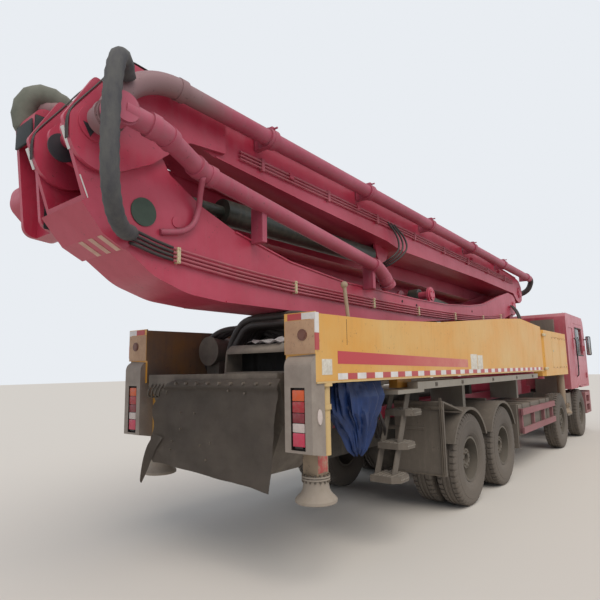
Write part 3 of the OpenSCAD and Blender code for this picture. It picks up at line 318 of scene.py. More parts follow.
# Hoses of the pump, heaped over the hopper's front edge
for i in range(3):
    hose(f"hopper_hose_{i + 1}", [(-4.31, -0.42 + 0.16 * i, 1.67), (-4.29, -0.42 + 0.16 * i, 1.90),
         (-4.30, -0.22 + 0.16 * i, 2.10), (-4.40 - 0.05 * i, 0.18 + 0.12 * i, 2.19 - 0.01 * i),
         (-4.50 - 0.05 * i, 0.50 + 0.08 * i, 2.13 - 0.02 * i), (-4.52 - 0.03 * i, 0.80, 1.94 - 0.03 * i),
         (-4.46, 0.86, 1.67)], 0.066, hose_rubber, "root", count=36)
for i in range(12):
    layer, row = i % 2, i // 2
    x, z, sway = -4.63 + 0.052 * row, 0.068 * layer, 0.016 * math.sin(2.3 * i)
    hose(f"heaped_hose_{i + 1}", [(x, -0.845, 1.67), (x - sway, -0.85 + 0.01 * layer, 1.92 - z / 2),
         (x, -0.80 + 0.03 * layer, 2.125 - z / 2), (x + sway, -0.62 + 0.03 * layer, 2.235 - z),
         (x - sway, -0.28, 2.243 - z), (x + sway, 0.08, 2.232 - z),
         (x + sway, 0.25 - 0.03 * layer, 2.12 - z), (x - sway, 0.36 - 0.06 * layer, 1.92 - z / 2),
         (x, 0.38 - 0.06 * layer, 1.67)], 0.074, hose_rubber, "root", count=36)
for i in range(9):
    layer, row = i // 3, i % 3
    x, z, sway = -4.297 + 0.068 * row, 0.085 * layer, 0.018 * math.sin(2.3 * i)
    foot = 1.67 if row == 0 else 1.62 - 0.10 * row
    edge = x if row == 0 else -4.276
    hose(f"front_hose_{i + 1}", [(edge, -0.68 + 0.065 * layer, foot),
         (x + 0.01, -0.68 + 0.06 * layer, 1.88 - z / 3), (x + 0.02 + sway, -0.53 + 0.05 * layer, 2.11 - z),
         (x + 0.02 - sway, -0.14, 2.18 + sway - z), (x + 0.02 + sway, 0.22 - 0.02 * layer, 2.11 - sway - z),
         (x + 0.01, 0.42 - 0.06 * layer, 1.90 - z / 3), (edge, 0.44 - 0.065 * layer, foot)], 0.074,
         hose_rubber, "root", count=32)
for i in range(2):
    hose(f"step_hose_{i + 1}", [(-3.80, -0.90 + 0.05 * i, 1.46), (-3.86, -0.97 + 0.05 * i, 1.34),
         (-3.82, -1.00 + 0.05 * i, 1.20), (-3.72, -0.98 + 0.05 * i, 1.08), (-3.66, -0.90 + 0.05 * i, 0.98),
         (-3.60, -0.84 + 0.05 * i, 1.10), (-3.58, -0.80 + 0.05 * i, 1.30),
         (-3.58, -0.80 + 0.05 * i, 1.445)], 0.034, hose_rubber, "root", count=24)
# Rubber elbow at the second arm's tip, which leads the concrete down to the next pipe
hose("tip_elbow_hose", [(4.20, -0.626, 3.76), (4.30, -0.626, 3.745), (4.37, -0.60, 3.66),
     (4.38, -0.52, 3.52), (4.35, -0.36, 3.43), (4.25, -0.18, 3.40), (4.12, -0.08, 3.40)], 0.12, hose_rubber,
     "arm_2", count=28)


# Boom
# Welded steel arms in gloss red paint that years of sun have turned pinkish in patches.
# Grey-brown site dust lies on what faces up, rain has drawn it into streaks down the sides.
def dress(material, *nodes):
    """Gives CAD nodes one material."""
    for n in nodes:
        mesh = frame["nodes"][n].data
        mesh.materials.clear()
        mesh.materials.append(material)


def rod(mesh, a, b, r, sides=16):
    """Adds a round bar from a to b."""
    a, b = Vector(a), Vector(b)
    way = (b - a).normalized()
    turn = way.orthogonal().normalized()
    rings = [ring(mesh, end, turn, way.cross(turn), r, sides) for end in (a, b)]
    weave(mesh, rings)
    mesh.faces.new(rings[0][::-1])
    mesh.faces.new(rings[1])


def bent_rod(mesh, way, r, sides):
    """Adds round bars from point to point of a curve."""
    for a, b in zip(way, way[1:]):
        rod(mesh, a, b, r, sides)


def slab(mesh, corner, opposite, edge=0.0):
    """Adds a block between two opposite corners, with its edges broken."""
    made = bmesh.ops.create_cube(mesh, size=1)["verts"]
    bmesh.ops.scale(mesh, vec=[abs(b - a) for a, b in zip(corner, opposite)], verts=made)
    bmesh.ops.translate(mesh, vec=[(a + b) / 2 for a, b in zip(corner, opposite)], verts=made)
    if edge:
        edges = list({e for v in made for e in v.link_edges})
        bmesh.ops.bevel(mesh, geom=edges, offset=edge, segments=2, affect="EDGES", profile=0.6)


def plate(name, material, body, corner, opposite, edge=0.0):
    """A piece that is one block."""
    mesh = bmesh.new()
    slab(mesh, corner, opposite, edge)
    return close(mesh, name, material, body)


def prism(mesh, near, far):
    """Adds the block between two like outlines."""
    near, far = [[mesh.verts.new(p) for p in outline] for outline in (near, far)]
    mesh.faces.new(near)
    mesh.faces.new(far)
    weave(mesh, [near, far])


def weathered(name, paint, faded, dust, dusty=0.5, rough=0.5, chips=0.5, low=0.0, metallic=0.0,
              streaks=0.5, worn=None):
    """Paint or plate in the open: fading, rain streaks, settled dust, chips and fine grain.
    worn is a colour that takes over behind a place on the X axis, between its two ends."""
    material, tree = blank_material(name)
    coords = add(tree, "ShaderNodeTexCoord")
    place = coords.outputs["Object"]
    # Fading comes in patches about a metre wide
    patch = add(tree, "ShaderNodeTexNoise", {"Vector": place, "Scale": 1.1, "Detail": 5, "Roughness": 0.6})
    fade = add(tree, "ShaderNodeMapRange", {0: patch.outputs["Fac"], 1: 0.35, 2: 0.68})
    coat = add(tree, "ShaderNodeMix", {0: fade, 6: linear(paint), 7: linear(faded)}, data_type="RGBA")
    if worn:
        length = add(tree, "ShaderNodeSeparateXYZ", {0: place})
        behind = add(tree, "ShaderNodeMapRange", {0: length.outputs["X"], 1: worn[1], 2: worn[2]})
        coat = add(tree, "ShaderNodeMix", {0: behind, 6: coat, 7: linear(worn[0])}, data_type="RGBA")
    # Streaks are about 40 mm apart and ten times as long
    drawn = add(tree, "ShaderNodeMapping", {"Vector": place, "Scale": (9, 9, 0.9)})
    rain = add(tree, "ShaderNodeTexNoise", {"Vector": drawn, "Scale": 2.6, "Detail": 6, "Roughness": 0.7})
    streak = add(tree, "ShaderNodeMapRange", {0: rain.outputs["Fac"], 1: 0.48, 2: 0.75, 4: streaks})
    # Dust lies on what faces up, and thickens towards the ground
    lying = lying_dust(tree, coords, dusty, low, steep=0.15, splash=(1.6, 0.3))
    all_dust = add(tree, "ShaderNodeMath", {0: lying, 1: streak}, operation="ADD")
    broken = add(tree, "ShaderNodeTexNoise", {"Vector": place, "Scale": 14, "Detail": 7, "Roughness": 0.65})
    uneven = add(tree, "ShaderNodeMapRange", {0: broken.outputs["Fac"], 1: 0.3, 2: 0.7, 3: 0.35, 4: 1.15})
    cover = add(tree, "ShaderNodeMath", {0: all_dust, 1: uneven}, operation="MULTIPLY", use_clamp=True)
    # Chips down to primer and rust, a few millimetres wide
    flake = add(tree, "ShaderNodeTexNoise", {"Vector": place, "Scale": 55, "Detail": 3, "Roughness": 0.55})
    where = add(tree, "ShaderNodeMath", {0: flake.outputs["Fac"], 1: broken.outputs["Fac"]},
                operation="MULTIPLY")
    chipped = add(tree, "ShaderNodeMapRange", {0: where, 1: 0.375, 2: 0.41, 4: chips})
    bump = add(tree, "ShaderNodeBump", {"Height": broken.outputs["Fac"], "Strength": 0.35,
               "Distance": 0.0015})
    finish_material(tree, coat, cover, dust, chipped, rough, bump, metallic)
    return material


# Alkyd enamel in carmine red, glossy where the dust is washed off, pinkish where it has chalked
boom_paint = weathered("red_boom_enamel", "#a3253e", "#b9495f", "#8f6d70", dusty=0.45, rough=0.36,
                       chips=0.55, streaks=0.2)
dress(boom_paint, "arm_1", "arm_2", "arm_3", "arm_4", "arm_5", "turret", "subframe")
# The pipes' enamel is browner and duller, because spilt cement has been wiped off it
pipe_red = weathered("red_pipe_enamel", "#95334a", "#ab5366", "#8e7075", dusty=0.5, rough=0.45)
dress(pipe_red, "pipe_1")
# The second arm's pipe is as red, but cement and wear have browned its bends at the tail
dress(weathered("red_pipe_with_browned_bend", "#95334a", "#a94f64", "#8e7075", dusty=0.5, rough=0.45,
                worn=("#86686a", -5.55, -5.95)), "pipe_2")
# Black enamel on the cylinders, greenish where oil has held the dust
cylinder_paint = weathered("black_cylinder_enamel", "#20241f", "#2f352f", "#6b6459", rough=0.42)
dress(cylinder_paint, "lift_barrel", "cylinder_2")
# Hard chrome, ground and polished: a mirror under a thin film of dust
rod_chrome = weathered("hard_chrome", "#c9cacb", "#b4b6b8", "#8a8378", dusty=0.1, rough=0.14, chips=0.0,
                       metallic=1.0, streaks=0.1)
dress(rod_chrome, "lift_rod")
# Cement has dried on the delivery pipe, so its enamel shows pinkish grey
pipe_paint = weathered("cement_stained_pipe", "#8b6a6d", "#a8898c", "#7d756c", dusty=0.75, rough=0.62,
                       streaks=0.7)
dress(pipe_paint, "pipe_3")

# White tape dashes on the tail plates' rear edges
tape_white = surface("white_reflective_tape", ("#dcd9d6", "#c7c2bf"), 0.35, dust="#9a9288", dusty=0.3,
                     bump=0.0004, bump_size=700)
dashes = ((-6.906, 3.33, -6.848, 3.19), (-6.778, 3.03, -6.712, 2.875))
for side, y0, y1 in (("right", -0.458, -0.425), ("left", 0.062, 0.095)):
    mesh = bmesh.new()
    for x0, z0, x1, z1 in dashes:
        out = Vector((z1 - z0, 0, -(x1 - x0))).normalized() * 0.003
        corners = [Vector(c) for c in ((x0, y0, z0), (x0, y1, z0), (x1, y1, z1), (x1, y0, z1))]
        prism(mesh, [c - out * 2 for c in corners], [c + out for c in corners])
    close(mesh, f"{side}_tail_dash", tape_white, "arm_1", smooth=0)

# Hard lines: four steel tubes along the first arm's upper right edge, in cream clamps
# The lines' red enamel is duller than the boom's; the cream enamel is grey with dust
line_paint = weathered("red_line_enamel", "#9a3547", "#b2606d", "#9a7d78", dusty=0.5, rough=0.42, chips=0.3)
cream = weathered("cream_clamp_enamel", "#cdbf9c", "#bfb08c", "#8d8374", dusty=0.4, rough=0.5)
arm_face = -0.454
line_pitch = 0.032
line_run = ((-6.05, 2.66), (-5.2, 2.60), (-4.0, 2.57), (-2.0, 2.565), (0.0, 2.60), (1.6, 2.68), (2.5, 2.80))
mesh = bmesh.new()
for i in range(4):
    way = along([(x, -0.482, z - line_pitch * i) for x, z in line_run], 26)
    bent_rod(mesh, way, 0.0105, 8)
close(mesh, "arm_1_hard_lines", line_paint, "arm_1")
mesh = bmesh.new()
middle = along([(x, 0, z - 0.05) for x, z in line_run], 200)
for x in (-5.98, -4.53, -2.98, -1.70, -0.30, 1.10, 2.20):
    z = middle[int((x + 6.05) / 8.55 * 199)].z
    slab(mesh, (x - 0.016, -0.498, z - 0.064), (x + 0.016, arm_face, z + 0.064), 0.004)
    for dz in (-0.050, 0.050):
        rod(mesh, (x, -0.498, z + dz), (x, -0.505, z + dz), 0.009, 6)
close(mesh, "arm_1_line_clamps", cream, "arm_1")

# Round cover on the first arm's face, inspection holes and the pins' keeper plates
mesh = bmesh.new()
# The cover's enamel is dark green and matte, and the holes show only shadow
rod(mesh, (-6.281, arm_face, 2.890), (-6.281, -0.463, 2.890), 0.108, 40)
close(mesh, "tail_cover_disc", surface("dark_green_cover", ("#2b3a30", "#35463a"), 0.6, bump=0.001),
      "arm_1")
mesh = bmesh.new()
for x, z, r in ((-2.15, 2.62, 0.020), (-1.70, 2.60, 0.024), (-1.68, 2.53, 0.016), (0.6, 2.70, 0.02)):
    rod(mesh, (x, -0.4545, z), (x, -0.458, z), r, 24)
close(mesh, "arm_1_holes", surface("shadowed_hole", ("#151212", "#1e1a1a"), 0.9), "arm_1")


def bolts_on_plate(mesh, x, y, z, ring_radius, count, first, bolt):
    """Adds a ring of bolts that face right, the first at an angle in degrees.
    bolt is its radius and length."""
    for k in range(count):
        a = math.radians(first + 360 / count * k)
        at = (x + ring_radius * math.cos(a), z + ring_radius * math.sin(a))
        rod(mesh, (at[0], y, at[1]), (at[0], y - bolt[1], at[1]), bolt[0], 6)


mesh = bmesh.new()
for x, z in ((3.3, 3.05), (-1.15, 2.82)):
    rod(mesh, (x, -0.456, z), (x, -0.474, z), 0.085, 32)
    bolts_on_plate(mesh, x, -0.473, z, 0.062, 4, 45, (0.011, 0.011))
close(mesh, "arm_1_pin_plates", boom_paint, "arm_1")
mesh = bmesh.new()
x, z = 3.85, 3.40
rod(mesh, (x, arm_face, z), (x, -0.472, z), 0.125, 36)
rod(mesh, (x, -0.470, z), (x, -0.484, z), 0.075, 32)
bolts_on_plate(mesh, x, -0.470, z, 0.10, 6, 0, (0.012, 0.012))
close(mesh, "arm_2_tip_plate", boom_paint, "arm_2")

# Second arm's hydraulic lines along its foot, in clamps
mesh = bmesh.new()
for i in range(3):
    rod(mesh, (-5.3, -0.478, 3.70 - 0.034 * i), (3.3, -0.478, 3.615 - 0.034 * i), 0.010, 8)
close(mesh, "arm_2_hard_lines", line_paint, "arm_2")
mesh = bmesh.new()
for x in (-5.0, -3.9, -2.8, -1.7, -0.6, 0.5, 1.6, 2.7):
    z = 3.70 - 0.034 - (x + 5.3) * 0.085 / 8.6
    slab(mesh, (x - 0.02, -0.494, z - 0.062), (x + 0.02, arm_face, z + 0.062), 0.004)
close(mesh, "arm_2_line_clamps", line_paint, "arm_2")
# Black lines over the tail: they follow the root plates' sloping edges to the arm's top
mesh = bmesh.new()
for y0 in (-0.494, 0.018):
    for k in range(3):
        y = y0 + 0.012 * k
        way = along([(-6.891, y, 3.24), (-6.893, y, 3.36), (-6.864, y, 3.465), (-6.700, y, 3.700),
                    (-6.545, y, 3.925), (-6.470, y, 3.992), (-6.38, y, 4.002), (-5.95, y, 3.975),
                    (-5.62, y, 3.945)], 36)
        bent_rod(mesh, way, 0.005, 8)
    for x, z in ((-6.25, 3.995), (-5.80, 3.962)):
        slab(mesh, (x - 0.014, y0 - 0.006, z - 0.022), (x + 0.014, y0 + 0.030, z + 0.010), 0.003)
close(mesh, "tail_black_lines", hose_rubber, "arm_2")

# Bent steel bar that carries the first delivery pipe off the arm's face
tube("pipe_1_bent_bar", [(-5.885, -0.655, 3.235), (-5.835, -0.565, 3.13), (-5.80, -0.505, 3.03),
     (-5.835, -0.492, 2.90), (-5.92, -0.488, 2.82), (-6.03, -0.482, 2.785), (-6.14, -0.466, 2.765)], 0.048,
     pipe_red, "arm_1", count=26)
# Stripes on the plate under the tail, where the enamel is worn down to a pale undercoat
mesh = bmesh.new()
for y in (-0.155, -0.285, -0.412):
    corners = [(-6.597, y - 0.027, 2.6535), (-6.597, y + 0.027, 2.6535), (-6.446, y + 0.027, 2.5780),
               (-6.446, y - 0.027, 2.5780)]
    prism(mesh, [Vector(c) + Vector((0.001, 0, 0.002)) for c in corners],
          [Vector(c) - Vector((0.0015, 0, 0.003)) for c in corners])
close(mesh, "tail_wear_stripes", surface("bare_pale_stripe", ("#c9a795", "#b78e80"), 0.6, dust="#9a8478"),
      "arm_1", smooth=0)
# Dark discs and a triangle on the second arm's root lugs: painted shadow in the gaps round their rounded
# ends, with some dust on it
mesh = bmesh.new()
rod(mesh, (-6.74, -0.104, 3.335), (-6.74, -0.114, 3.335), 0.105, 36)
corners = [(-6.800, 3.385), (-6.702, 3.372), (-6.745, 3.290)]
prism(mesh, [(x, -0.511, z) for x, z in corners], [(x, -0.5145, z) for x, z in corners])
close(mesh, "root_lug_gap_shadows", surface("painted_gap_shadow", ("#262a30", "#33343a"), 0.55, bump=0.001), "arm_2")

# Moulded rubber pads, black and dull, on the folded third arm's tail, where the section rests
pad_rubber = surface("black_rest_rubber", ("#1c2326", "#262c2e"), 0.7, bump=0.002, bump_size=90,
                     dust="#5c5650")
mesh = bmesh.new()
slab(mesh, (-6.826, 0.160, 3.44), (-6.74, 0.172, 3.66), 0.010)
slab(mesh, (-6.72, 0.158, 2.79), (-6.46, 0.172, 2.98), 0.012)
slab(mesh, (-6.838, 0.20, 3.46), (-6.818, 0.47, 3.64), 0.008)
close(mesh, "arm_3_rest_pads", pad_rubber, "arm_3")
# Elbow of the delivery pipe over the third arm's tail, rough and grey with dried cement
cement_grey = surface("cement_grey_pipe", ("#5f6258", "#72746a"), 0.85, scale=(6, 6, 6), bump=0.004,
                      bump_size=30, dust="#7f7a70", dusty=0.5)
tube("arm_3_elbow_sleeve", [(-6.34, 0.335, 3.852), (-6.50, 0.338, 3.885), (-6.64, 0.36, 3.935),
     (-6.735, 0.40, 3.925), (-6.785, 0.44, 3.85), (-6.785, 0.47, 3.75), (-6.75, 0.48, 3.67)], 0.19,
     cement_grey, "arm_3", count=20, sides=24, ridges=ridge_depth)

# Yoke clamps of the delivery pipe, with their lever bolts
mesh = bmesh.new()
for k in range(5):
    x = -5.05 + 1.8 * k
    z = 3.885 - (x + 6.5) * 0.125 / 10.7
    rod(mesh, (x - 0.012, -0.62, z), (x + 0.052, -0.62, z), 0.094, 28)
    slab(mesh, (x - 0.004, -0.655, z + 0.078), (x + 0.044, -0.585, z + 0.118), 0.006)
    rod(mesh, (x + 0.02, -0.70, z + 0.096), (x + 0.02, -0.54, z + 0.096), 0.010, 8)
close(mesh, "arm_2_pipe_clamps", pipe_red, "arm_2")

# Tyres
# Radial truck tyres, size 12.00R20: shoulder blocks and three ribs, walls grey with dust.
# Each is turned from one section; the grooves between the blocks are up to 15 mm deep.
tyre_rubber = surface("dusty_tyre_rubber", ("#433e3a", "#4e4844"), 0.88, scale=(5, 5, 5), bump=0.0015,
                      bump_size=120, dust="#766d63", dusty=0.65, low=0.72)
# Half of the section: distance from the middle, radius and how deep the grooves cut there
section = [(0.105, 0.277, 0), (0.124, 0.292, 0), (0.134, 0.315, 0), (0.138, 0.320, 0), (0.1385, 0.333, 0),
           (0.143, 0.340, 0), (0.145, 0.385, 0), (0.1445, 0.420, 0), (0.1415, 0.455, 0), (0.141, 0.470, 0),
           (0.137, 0.474, 0), (0.134, 0.500, 0.004), (0.130, 0.522, 0.009), (0.118, 0.546, 0.014),
           (0.106, 0.5555, 0.015), (0.062, 0.5595, 0.015), (0.058, 0.5595, 0.0), (0.054, 0.546, 0.0),
           (0.046, 0.546, 0.0), (0.042, 0.560, 0.0), (0.014, 0.560, 0.004), (0.010, 0.549, 0.0)]
section += [(-y, r, d) for y, r, d in reversed(section)]
pitches = 46
axle_height = 0.56
cuts = (0.10, 0.14, 0.42, 0.46, 0.60, 0.64, 0.92, 0.96)


def tyre(mesh, x, y):
    """Adds one tyre round an axle at x, with its middle at y."""
    rings = []
    for p in range(pitches):
        for k, part in enumerate(cuts):
            a = 2 * math.pi * (p + part) / pitches
            row = []
            for w, r, depth in section:
                cut = depth if (k in (1, 2) and w > 0) or (k in (5, 6) and w < 0) else 0
                row.append(mesh.verts.new((x + (r - cut) * math.cos(a), y + w,
                           axle_height + (r - cut) * math.sin(a))))
            rings.append(row)
    weave(mesh, rings + rings[:1])


bodies = {node: body for body, nodes in frame["record"]["behaviour"]["bodies"].items() for node in nodes}
both_sides = (("left", 1), ("right", -1))
axle_at = {1: 5.60, 2: 3.41, 3: -0.62, 4: -1.97}
for number, x in axle_at.items():
    for side, s in both_sides:
        mesh = bmesh.new()
        for y in ((1.095,) if number < 3 else (1.09, 0.77)):
            tyre(mesh, x, s * y)
        node = f"tyre_{number}_{side}"
        piece = close(mesh, f"treaded_{node}", tyre_rubber, bodies[node], smooth=32)
        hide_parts(node)

# Wheels
# Pressed steel rims in grey paint, bolted to cast hubs with ten nuts each. The nuts and
# the hub caps' bolts stand on rings.
rim_paint = weathered("grey_rim_enamel", "#57524a", "#645e55", "#6b6359", dusty=0.4, rough=0.6, low=0.6,
                      chips=0.4)
for number in axle_at:
    for side in ("left", "right"):
        dress(rim_paint, f"rim_{number}_{side}")
ring_tree = bpy.data.node_groups.new("ring_of_nuts", "GeometryNodeTree")
for label, kind in (("Geometry", "NodeSocketGeometry"), ("Count", "NodeSocketInt"),
                    ("Ring radius", "NodeSocketFloat"), ("Nut radius", "NodeSocketFloat"),
                    ("Nut height", "NodeSocketFloat"), ("Place", "NodeSocketVector"),
                    ("Material", "NodeSocketMaterial")):
    ring_tree.interface.new_socket(label, in_out="INPUT", socket_type=kind)
ring_tree.interface.new_socket("Geometry", in_out="OUTPUT", socket_type="NodeSocketGeometry")
given = add(ring_tree, "NodeGroupInput")
circle = add(ring_tree, "GeometryNodeMeshCircle", {"Vertices": given.outputs["Count"],
             "Radius": given.outputs["Ring radius"]})
nut = add(ring_tree, "GeometryNodeMeshCylinder", {"Vertices": 6, "Radius": given.outputs["Nut radius"],
          "Depth": given.outputs["Nut height"]})
half = add(ring_tree, "ShaderNodeMath", {0: given.outputs["Nut radius"], 1: 0.5}, operation="MULTIPLY")
longer = add(ring_tree, "ShaderNodeMath", {0: given.outputs["Nut height"], 1: 1.6}, operation="MULTIPLY")
stud = add(ring_tree, "GeometryNodeMeshCylinder", {"Vertices": 8, "Radius": half, "Depth": longer})
one = add(ring_tree, "GeometryNodeJoinGeometry")
ring_tree.links.new(nut.outputs["Mesh"], one.inputs[0])
ring_tree.links.new(stud.outputs["Mesh"], one.inputs[0])
placed = add(ring_tree, "GeometryNodeInstanceOnPoints", {"Points": circle, "Instance": one})
stood = add(ring_tree, "GeometryNodeTransform", {"Geometry": placed,
            "Translation": given.outputs["Place"], "Rotation": (math.radians(90), 0, 0)})
real = add(ring_tree, "GeometryNodeRealizeInstances", {0: stood})
painted = add(ring_tree, "GeometryNodeSetMaterial", {"Geometry": real,
              "Material": given.outputs["Material"]})
add(ring_tree, "NodeGroupOutput", {0: painted})


def ring_of_nuts(name, body, material, rings):
    """Rings of nuts facing sideways, as one piece.
    Each ring is (count, ring radius, nut radius, nut height, place)."""
    whole = bmesh.new()
    for count, ring_radius, size, tall, at in rings:
        seed = bpy.data.objects.new("seed", bpy.data.meshes.new("seed"))
        bpy.context.scene.collection.objects.link(seed)
        modifier = seed.modifiers.new("ring", "NODES")
        modifier.node_group = ring_tree
        values = {"Count": count, "Ring radius": ring_radius, "Nut radius": size, "Nut height": tall,
                  "Place": at, "Material": material}
        for item in ring_tree.interface.items_tree:
            if item.in_out == "INPUT" and item.name in values:
                modifier[item.identifier] = values[item.name]
        bpy.context.view_layer.update()
        made = bpy.data.meshes.new_from_object(seed.evaluated_get(bpy.context.evaluated_depsgraph_get()))
        whole.from_mesh(made)
        bpy.data.objects.remove(seed)
        bpy.data.meshes.remove(made)
    return close(whole, name, material, body, smooth=30)


# Bare forged steel, brownish under baked-on dust, with a dull metal glint
nut_steel = weathered("dusty_nut_steel", "#5b544d", "#6e665d", "#857a6d", rough=0.6, low=0.6, metallic=0.6)
for number, x in axle_at.items():
    for side, s in both_sides:
        if number < 3:
            rings = [(10, 0.1675, 0.017, 0.036, (x, s * 1.176, axle_height)),
                     (6, 0.075, 0.009, 0.012, (x, s * 1.209, axle_height))]
        else:
            rings = [(10, 0.190, 0.017, 0.040, (x, s * 0.966, axle_height)),
                     (8, 0.092, 0.010, 0.014, (x, s * 1.155, axle_height))]
        ring_of_nuts(f"wheel_nuts_{number}_{side}", bodies[f"rim_{number}_{side}"], nut_steel, rings)

# Side beams and legs
# Long box beams of folded plate that swing out and carry the jacks, in yellow enamel faded
# to beige at the rear edge and washed with dust; the front legs are square yellow boxes.
beam_paint = weathered("yellow_beam_enamel", "#d29534", "#d0a862", "#96836a", dusty=0.45, rough=0.40,
                       chips=0.4, streaks=0.2)
dress(beam_paint, "leg_front_left", "leg_front_right")
# Beige enamel, dull with splashed mud, on the jacks
jack_paint = weathered("beige_jack_enamel", "#a08c74", "#8f7d6a", "#7d7062", rough=0.6, low=0.6, dusty=0.6)
dress(jack_paint, "jack_front_left", "jack_front_right")
# Cast steel, rough and pale with dried mud
cast_foot = weathered("dusty_cast_foot", "#8f857b", "#a19689", "#8b8072", rough=0.75, low=0.6, dusty=0.6,
                      chips=0.2)
# Cream enamel, satin, on the beams' flanges and tubes
cream_enamel = weathered("cream_tube_enamel", "#c9ab72", "#bda276", "#8d7f6c", rough=0.5, low=0.4)
# Lamp housings in matte paint that is grey with dust, and black inside the lamps' recess
housing_grey = surface("dust_grey_housing", ("#847970", "#948a80"), 0.7, scale=(7, 7, 7), bump=0.0015,
                       bump_size=90, dust="#968c81", dusty=0.7, low=0.3)
# The beams' inner faces and the sleeves are painted darker as their shade, with grey dust on them and
# yellow left in patches
dust_and_shade_paint = weathered("dust_and_painted_shade_enamel", "#6d6156", "#9c7440", "#6a6058", dusty=0.5, rough=0.75,
                        streaks=0.7)
recess_black = surface("black_lamp_recess", ("#1b1715", "#2a2421"), 0.6, dust="#4d453e", dusty=0.3)
finishes = [beam_paint, housing_grey, recess_black, cream_enamel, dust_and_shade_paint]
beam_face, beam_end = 1.2495, -5.2655
jack_x, jack_y = -5.0, 1.04
sleeve_half, leg_half = 0.088, 0.075
# Radius and height of each corner of the turned foot
foot_profile = [(0.164, 0.650), (0.172, 0.656), (0.172, 0.676), (0.158, 0.694), (0.128, 0.722),
                (0.112, 0.750), (0.106, 0.786), (0.104, 0.826), (0.116, 0.828), (0.116, 0.840),
                (0.100, 0.841), (0.100, 0.846), (0.116, 0.847), (0.116, 0.860)]
for side, s in both_sides:
    # The leg's sleeve is slimmer than the solid's, so the beam is dressed in a copy without that one
    mesh = bmesh.new()
    mesh.from_mesh(frame["nodes"][f"leg_rear_{side}"].data)
    bmesh.ops.remove_doubles(mesh, verts=mesh.verts, dist=0.00001)
    whole = bpy.data.objects.new("whole_beam", baked(mesh, "whole_beam"))
    mesh = bmesh.new()
    slab(mesh, (-5.1395, s * 0.88, 1.0), (-4.84, s * 1.27, 1.5995))
    room = bpy.data.objects.new("sleeve_room", baked(mesh, "sleeve_room"))
    for made in (whole, room):
        bpy.context.scene.collection.objects.link(made)
    cut = whole.modifiers.new("sleeve", "BOOLEAN")
    cut.operation, cut.solver, cut.object = "DIFFERENCE", "EXACT", room
    bpy.context.view_layer.update()
    shaped = bpy.data.meshes.new_from_object(whole.evaluated_get(bpy.context.evaluated_depsgraph_get()))
    shaped.name = f"side_beam_{side}"
    bpy.data.objects.remove(whole)
    bpy.data.objects.remove(room)
    shaped.materials.clear()
    for finish in finishes:
        shaped.materials.append(finish)
    for face in shaped.polygons:
        x, y, z = face.center.x, abs(face.center.y), face.center.z
        in_recess = -5.3095 < x < -5.2745 and 1.0415 < y < 1.1825 and 1.0945 < z < 1.5705
        on_housing = x < -5.139 and z < 1.8215 and 0.979 < y < 1.2505
        on_flange = z < 1.6145 and y > 1.2495
        # Faces that look in towards the truck get the darker finish, which paints their shade
        inner_face_in_shade = face.normal.y * s < -0.9 and y < 1.0
        finish = (recess_black if in_recess else housing_grey if on_housing else
                  cream_enamel if on_flange else dust_and_shade_paint if inner_face_in_shade else beam_paint)
        face.material_index = finishes.index(finish)
    beam = place_mesh(f"side_beam_{side}", shaped, None, f"leg_rear_{side}")
    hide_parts(f"leg_rear_{side}")
    # Square sleeve under a flange plate; the leg slides in it and stands on a bolted foot
    mesh = bmesh.new()
    slab(mesh, (-5.13, s * 0.91, 1.590), (-4.87, s * 1.17, 1.5998), 0.001)
    for low, high in (((-1, -1), (1, -0.88)), ((-1, 0.88), (1, 1)), ((-1, -0.88), (-0.88, 0.88)),
                      ((0.88, -0.88), (1, 0.88))):
        slab(mesh, (jack_x + low[0] * sleeve_half, s * jack_y + low[1] * sleeve_half, 1.05),
             (jack_x + high[0] * sleeve_half, s * jack_y + high[1] * sleeve_half, 1.591))
    # The sleeve gets the same painted shade and dust as the beams' inner faces
    close(mesh, f"leg_sleeve_{side}", dust_and_shade_paint, f"leg_rear_{side}", smooth=0)
    mesh = bmesh.new()
    slab(mesh, (jack_x - leg_half, s * jack_y - leg_half, 0.858),
         (jack_x + leg_half, s * jack_y + leg_half, 1.50), 0.006)
    rod(mesh, (jack_x, s * jack_y, 1.49), (jack_x, s * jack_y, 2.05), 0.062, 28)
    leg = close(mesh, f"jack_leg_{side}", jack_paint, f"jack_rear_{side}")
    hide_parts(f"jack_rear_{side}")
    mesh = bmesh.new()
    turns = [2 * math.pi * k / 40 for k in range(40)]
    rings = [[mesh.verts.new((jack_x + r * math.cos(a), s * jack_y + r * math.sin(a), z)) for a in turns]
             for r, z in foot_profile]
    weave(mesh, rings)
    mesh.faces.new(rings[0][::-1])
    mesh.faces.new(rings[-1])
    close(mesh, f"jack_foot_{side}", cast_foot, f"jack_rear_{side}", smooth=30)

# Prismatic tape: pieces 52 mm high and 146 mm long, white and red in turn, and the beams' rear corners
tape_red = surface("red_reflective_tape", ("#b23a3c", "#a8474a"), 0.35, dust="#8d7a72", dusty=0.3,
                   bump=0.0004, bump_size=700)
tape_step, tape_gap, tape_pieces = 0.15, 0.002, 46
corner_tape = {"white": (((-5.268, 1.13, 2.104), (beam_end, 1.264, 2.156)),
                         ((-5.268, 1.222, 1.995), (beam_end, 1.264, 2.103)),
                         ((-5.266, 1.261, 1.995), (-5.215, 1.264, 2.156))),
               "red": (((-5.268, 0.985, 2.104), (beam_end, 1.129, 2.156)),
                       ((-5.268, 1.222, 1.860), (beam_end, 1.264, 1.994)),
                       ((-5.266, 1.261, 1.860), (-5.215, 1.264, 1.994)))}
for side, s in both_sides:
    for tone, first, tape in (("white", 0, tape_white), ("red", 1, tape_red)):
        mesh = bmesh.new()
        for k in range(first, tape_pieces, 2):
            x = -4.95 + tape_step * k
            slab(mesh, (x + tape_gap, s * beam_face, 1.622), (x + tape_step - tape_gap, s * 1.2515, 1.674))
        for (x0, y0, z0), (x1, y1, z1) in corner_tape[tone]:
            slab(mesh, (x0, s * y0, z0), (x1, s * y1, z1))
        close(mesh, f"beam_tape_{tone}_{side}", tape, f"leg_rear_{side}", smooth=0)

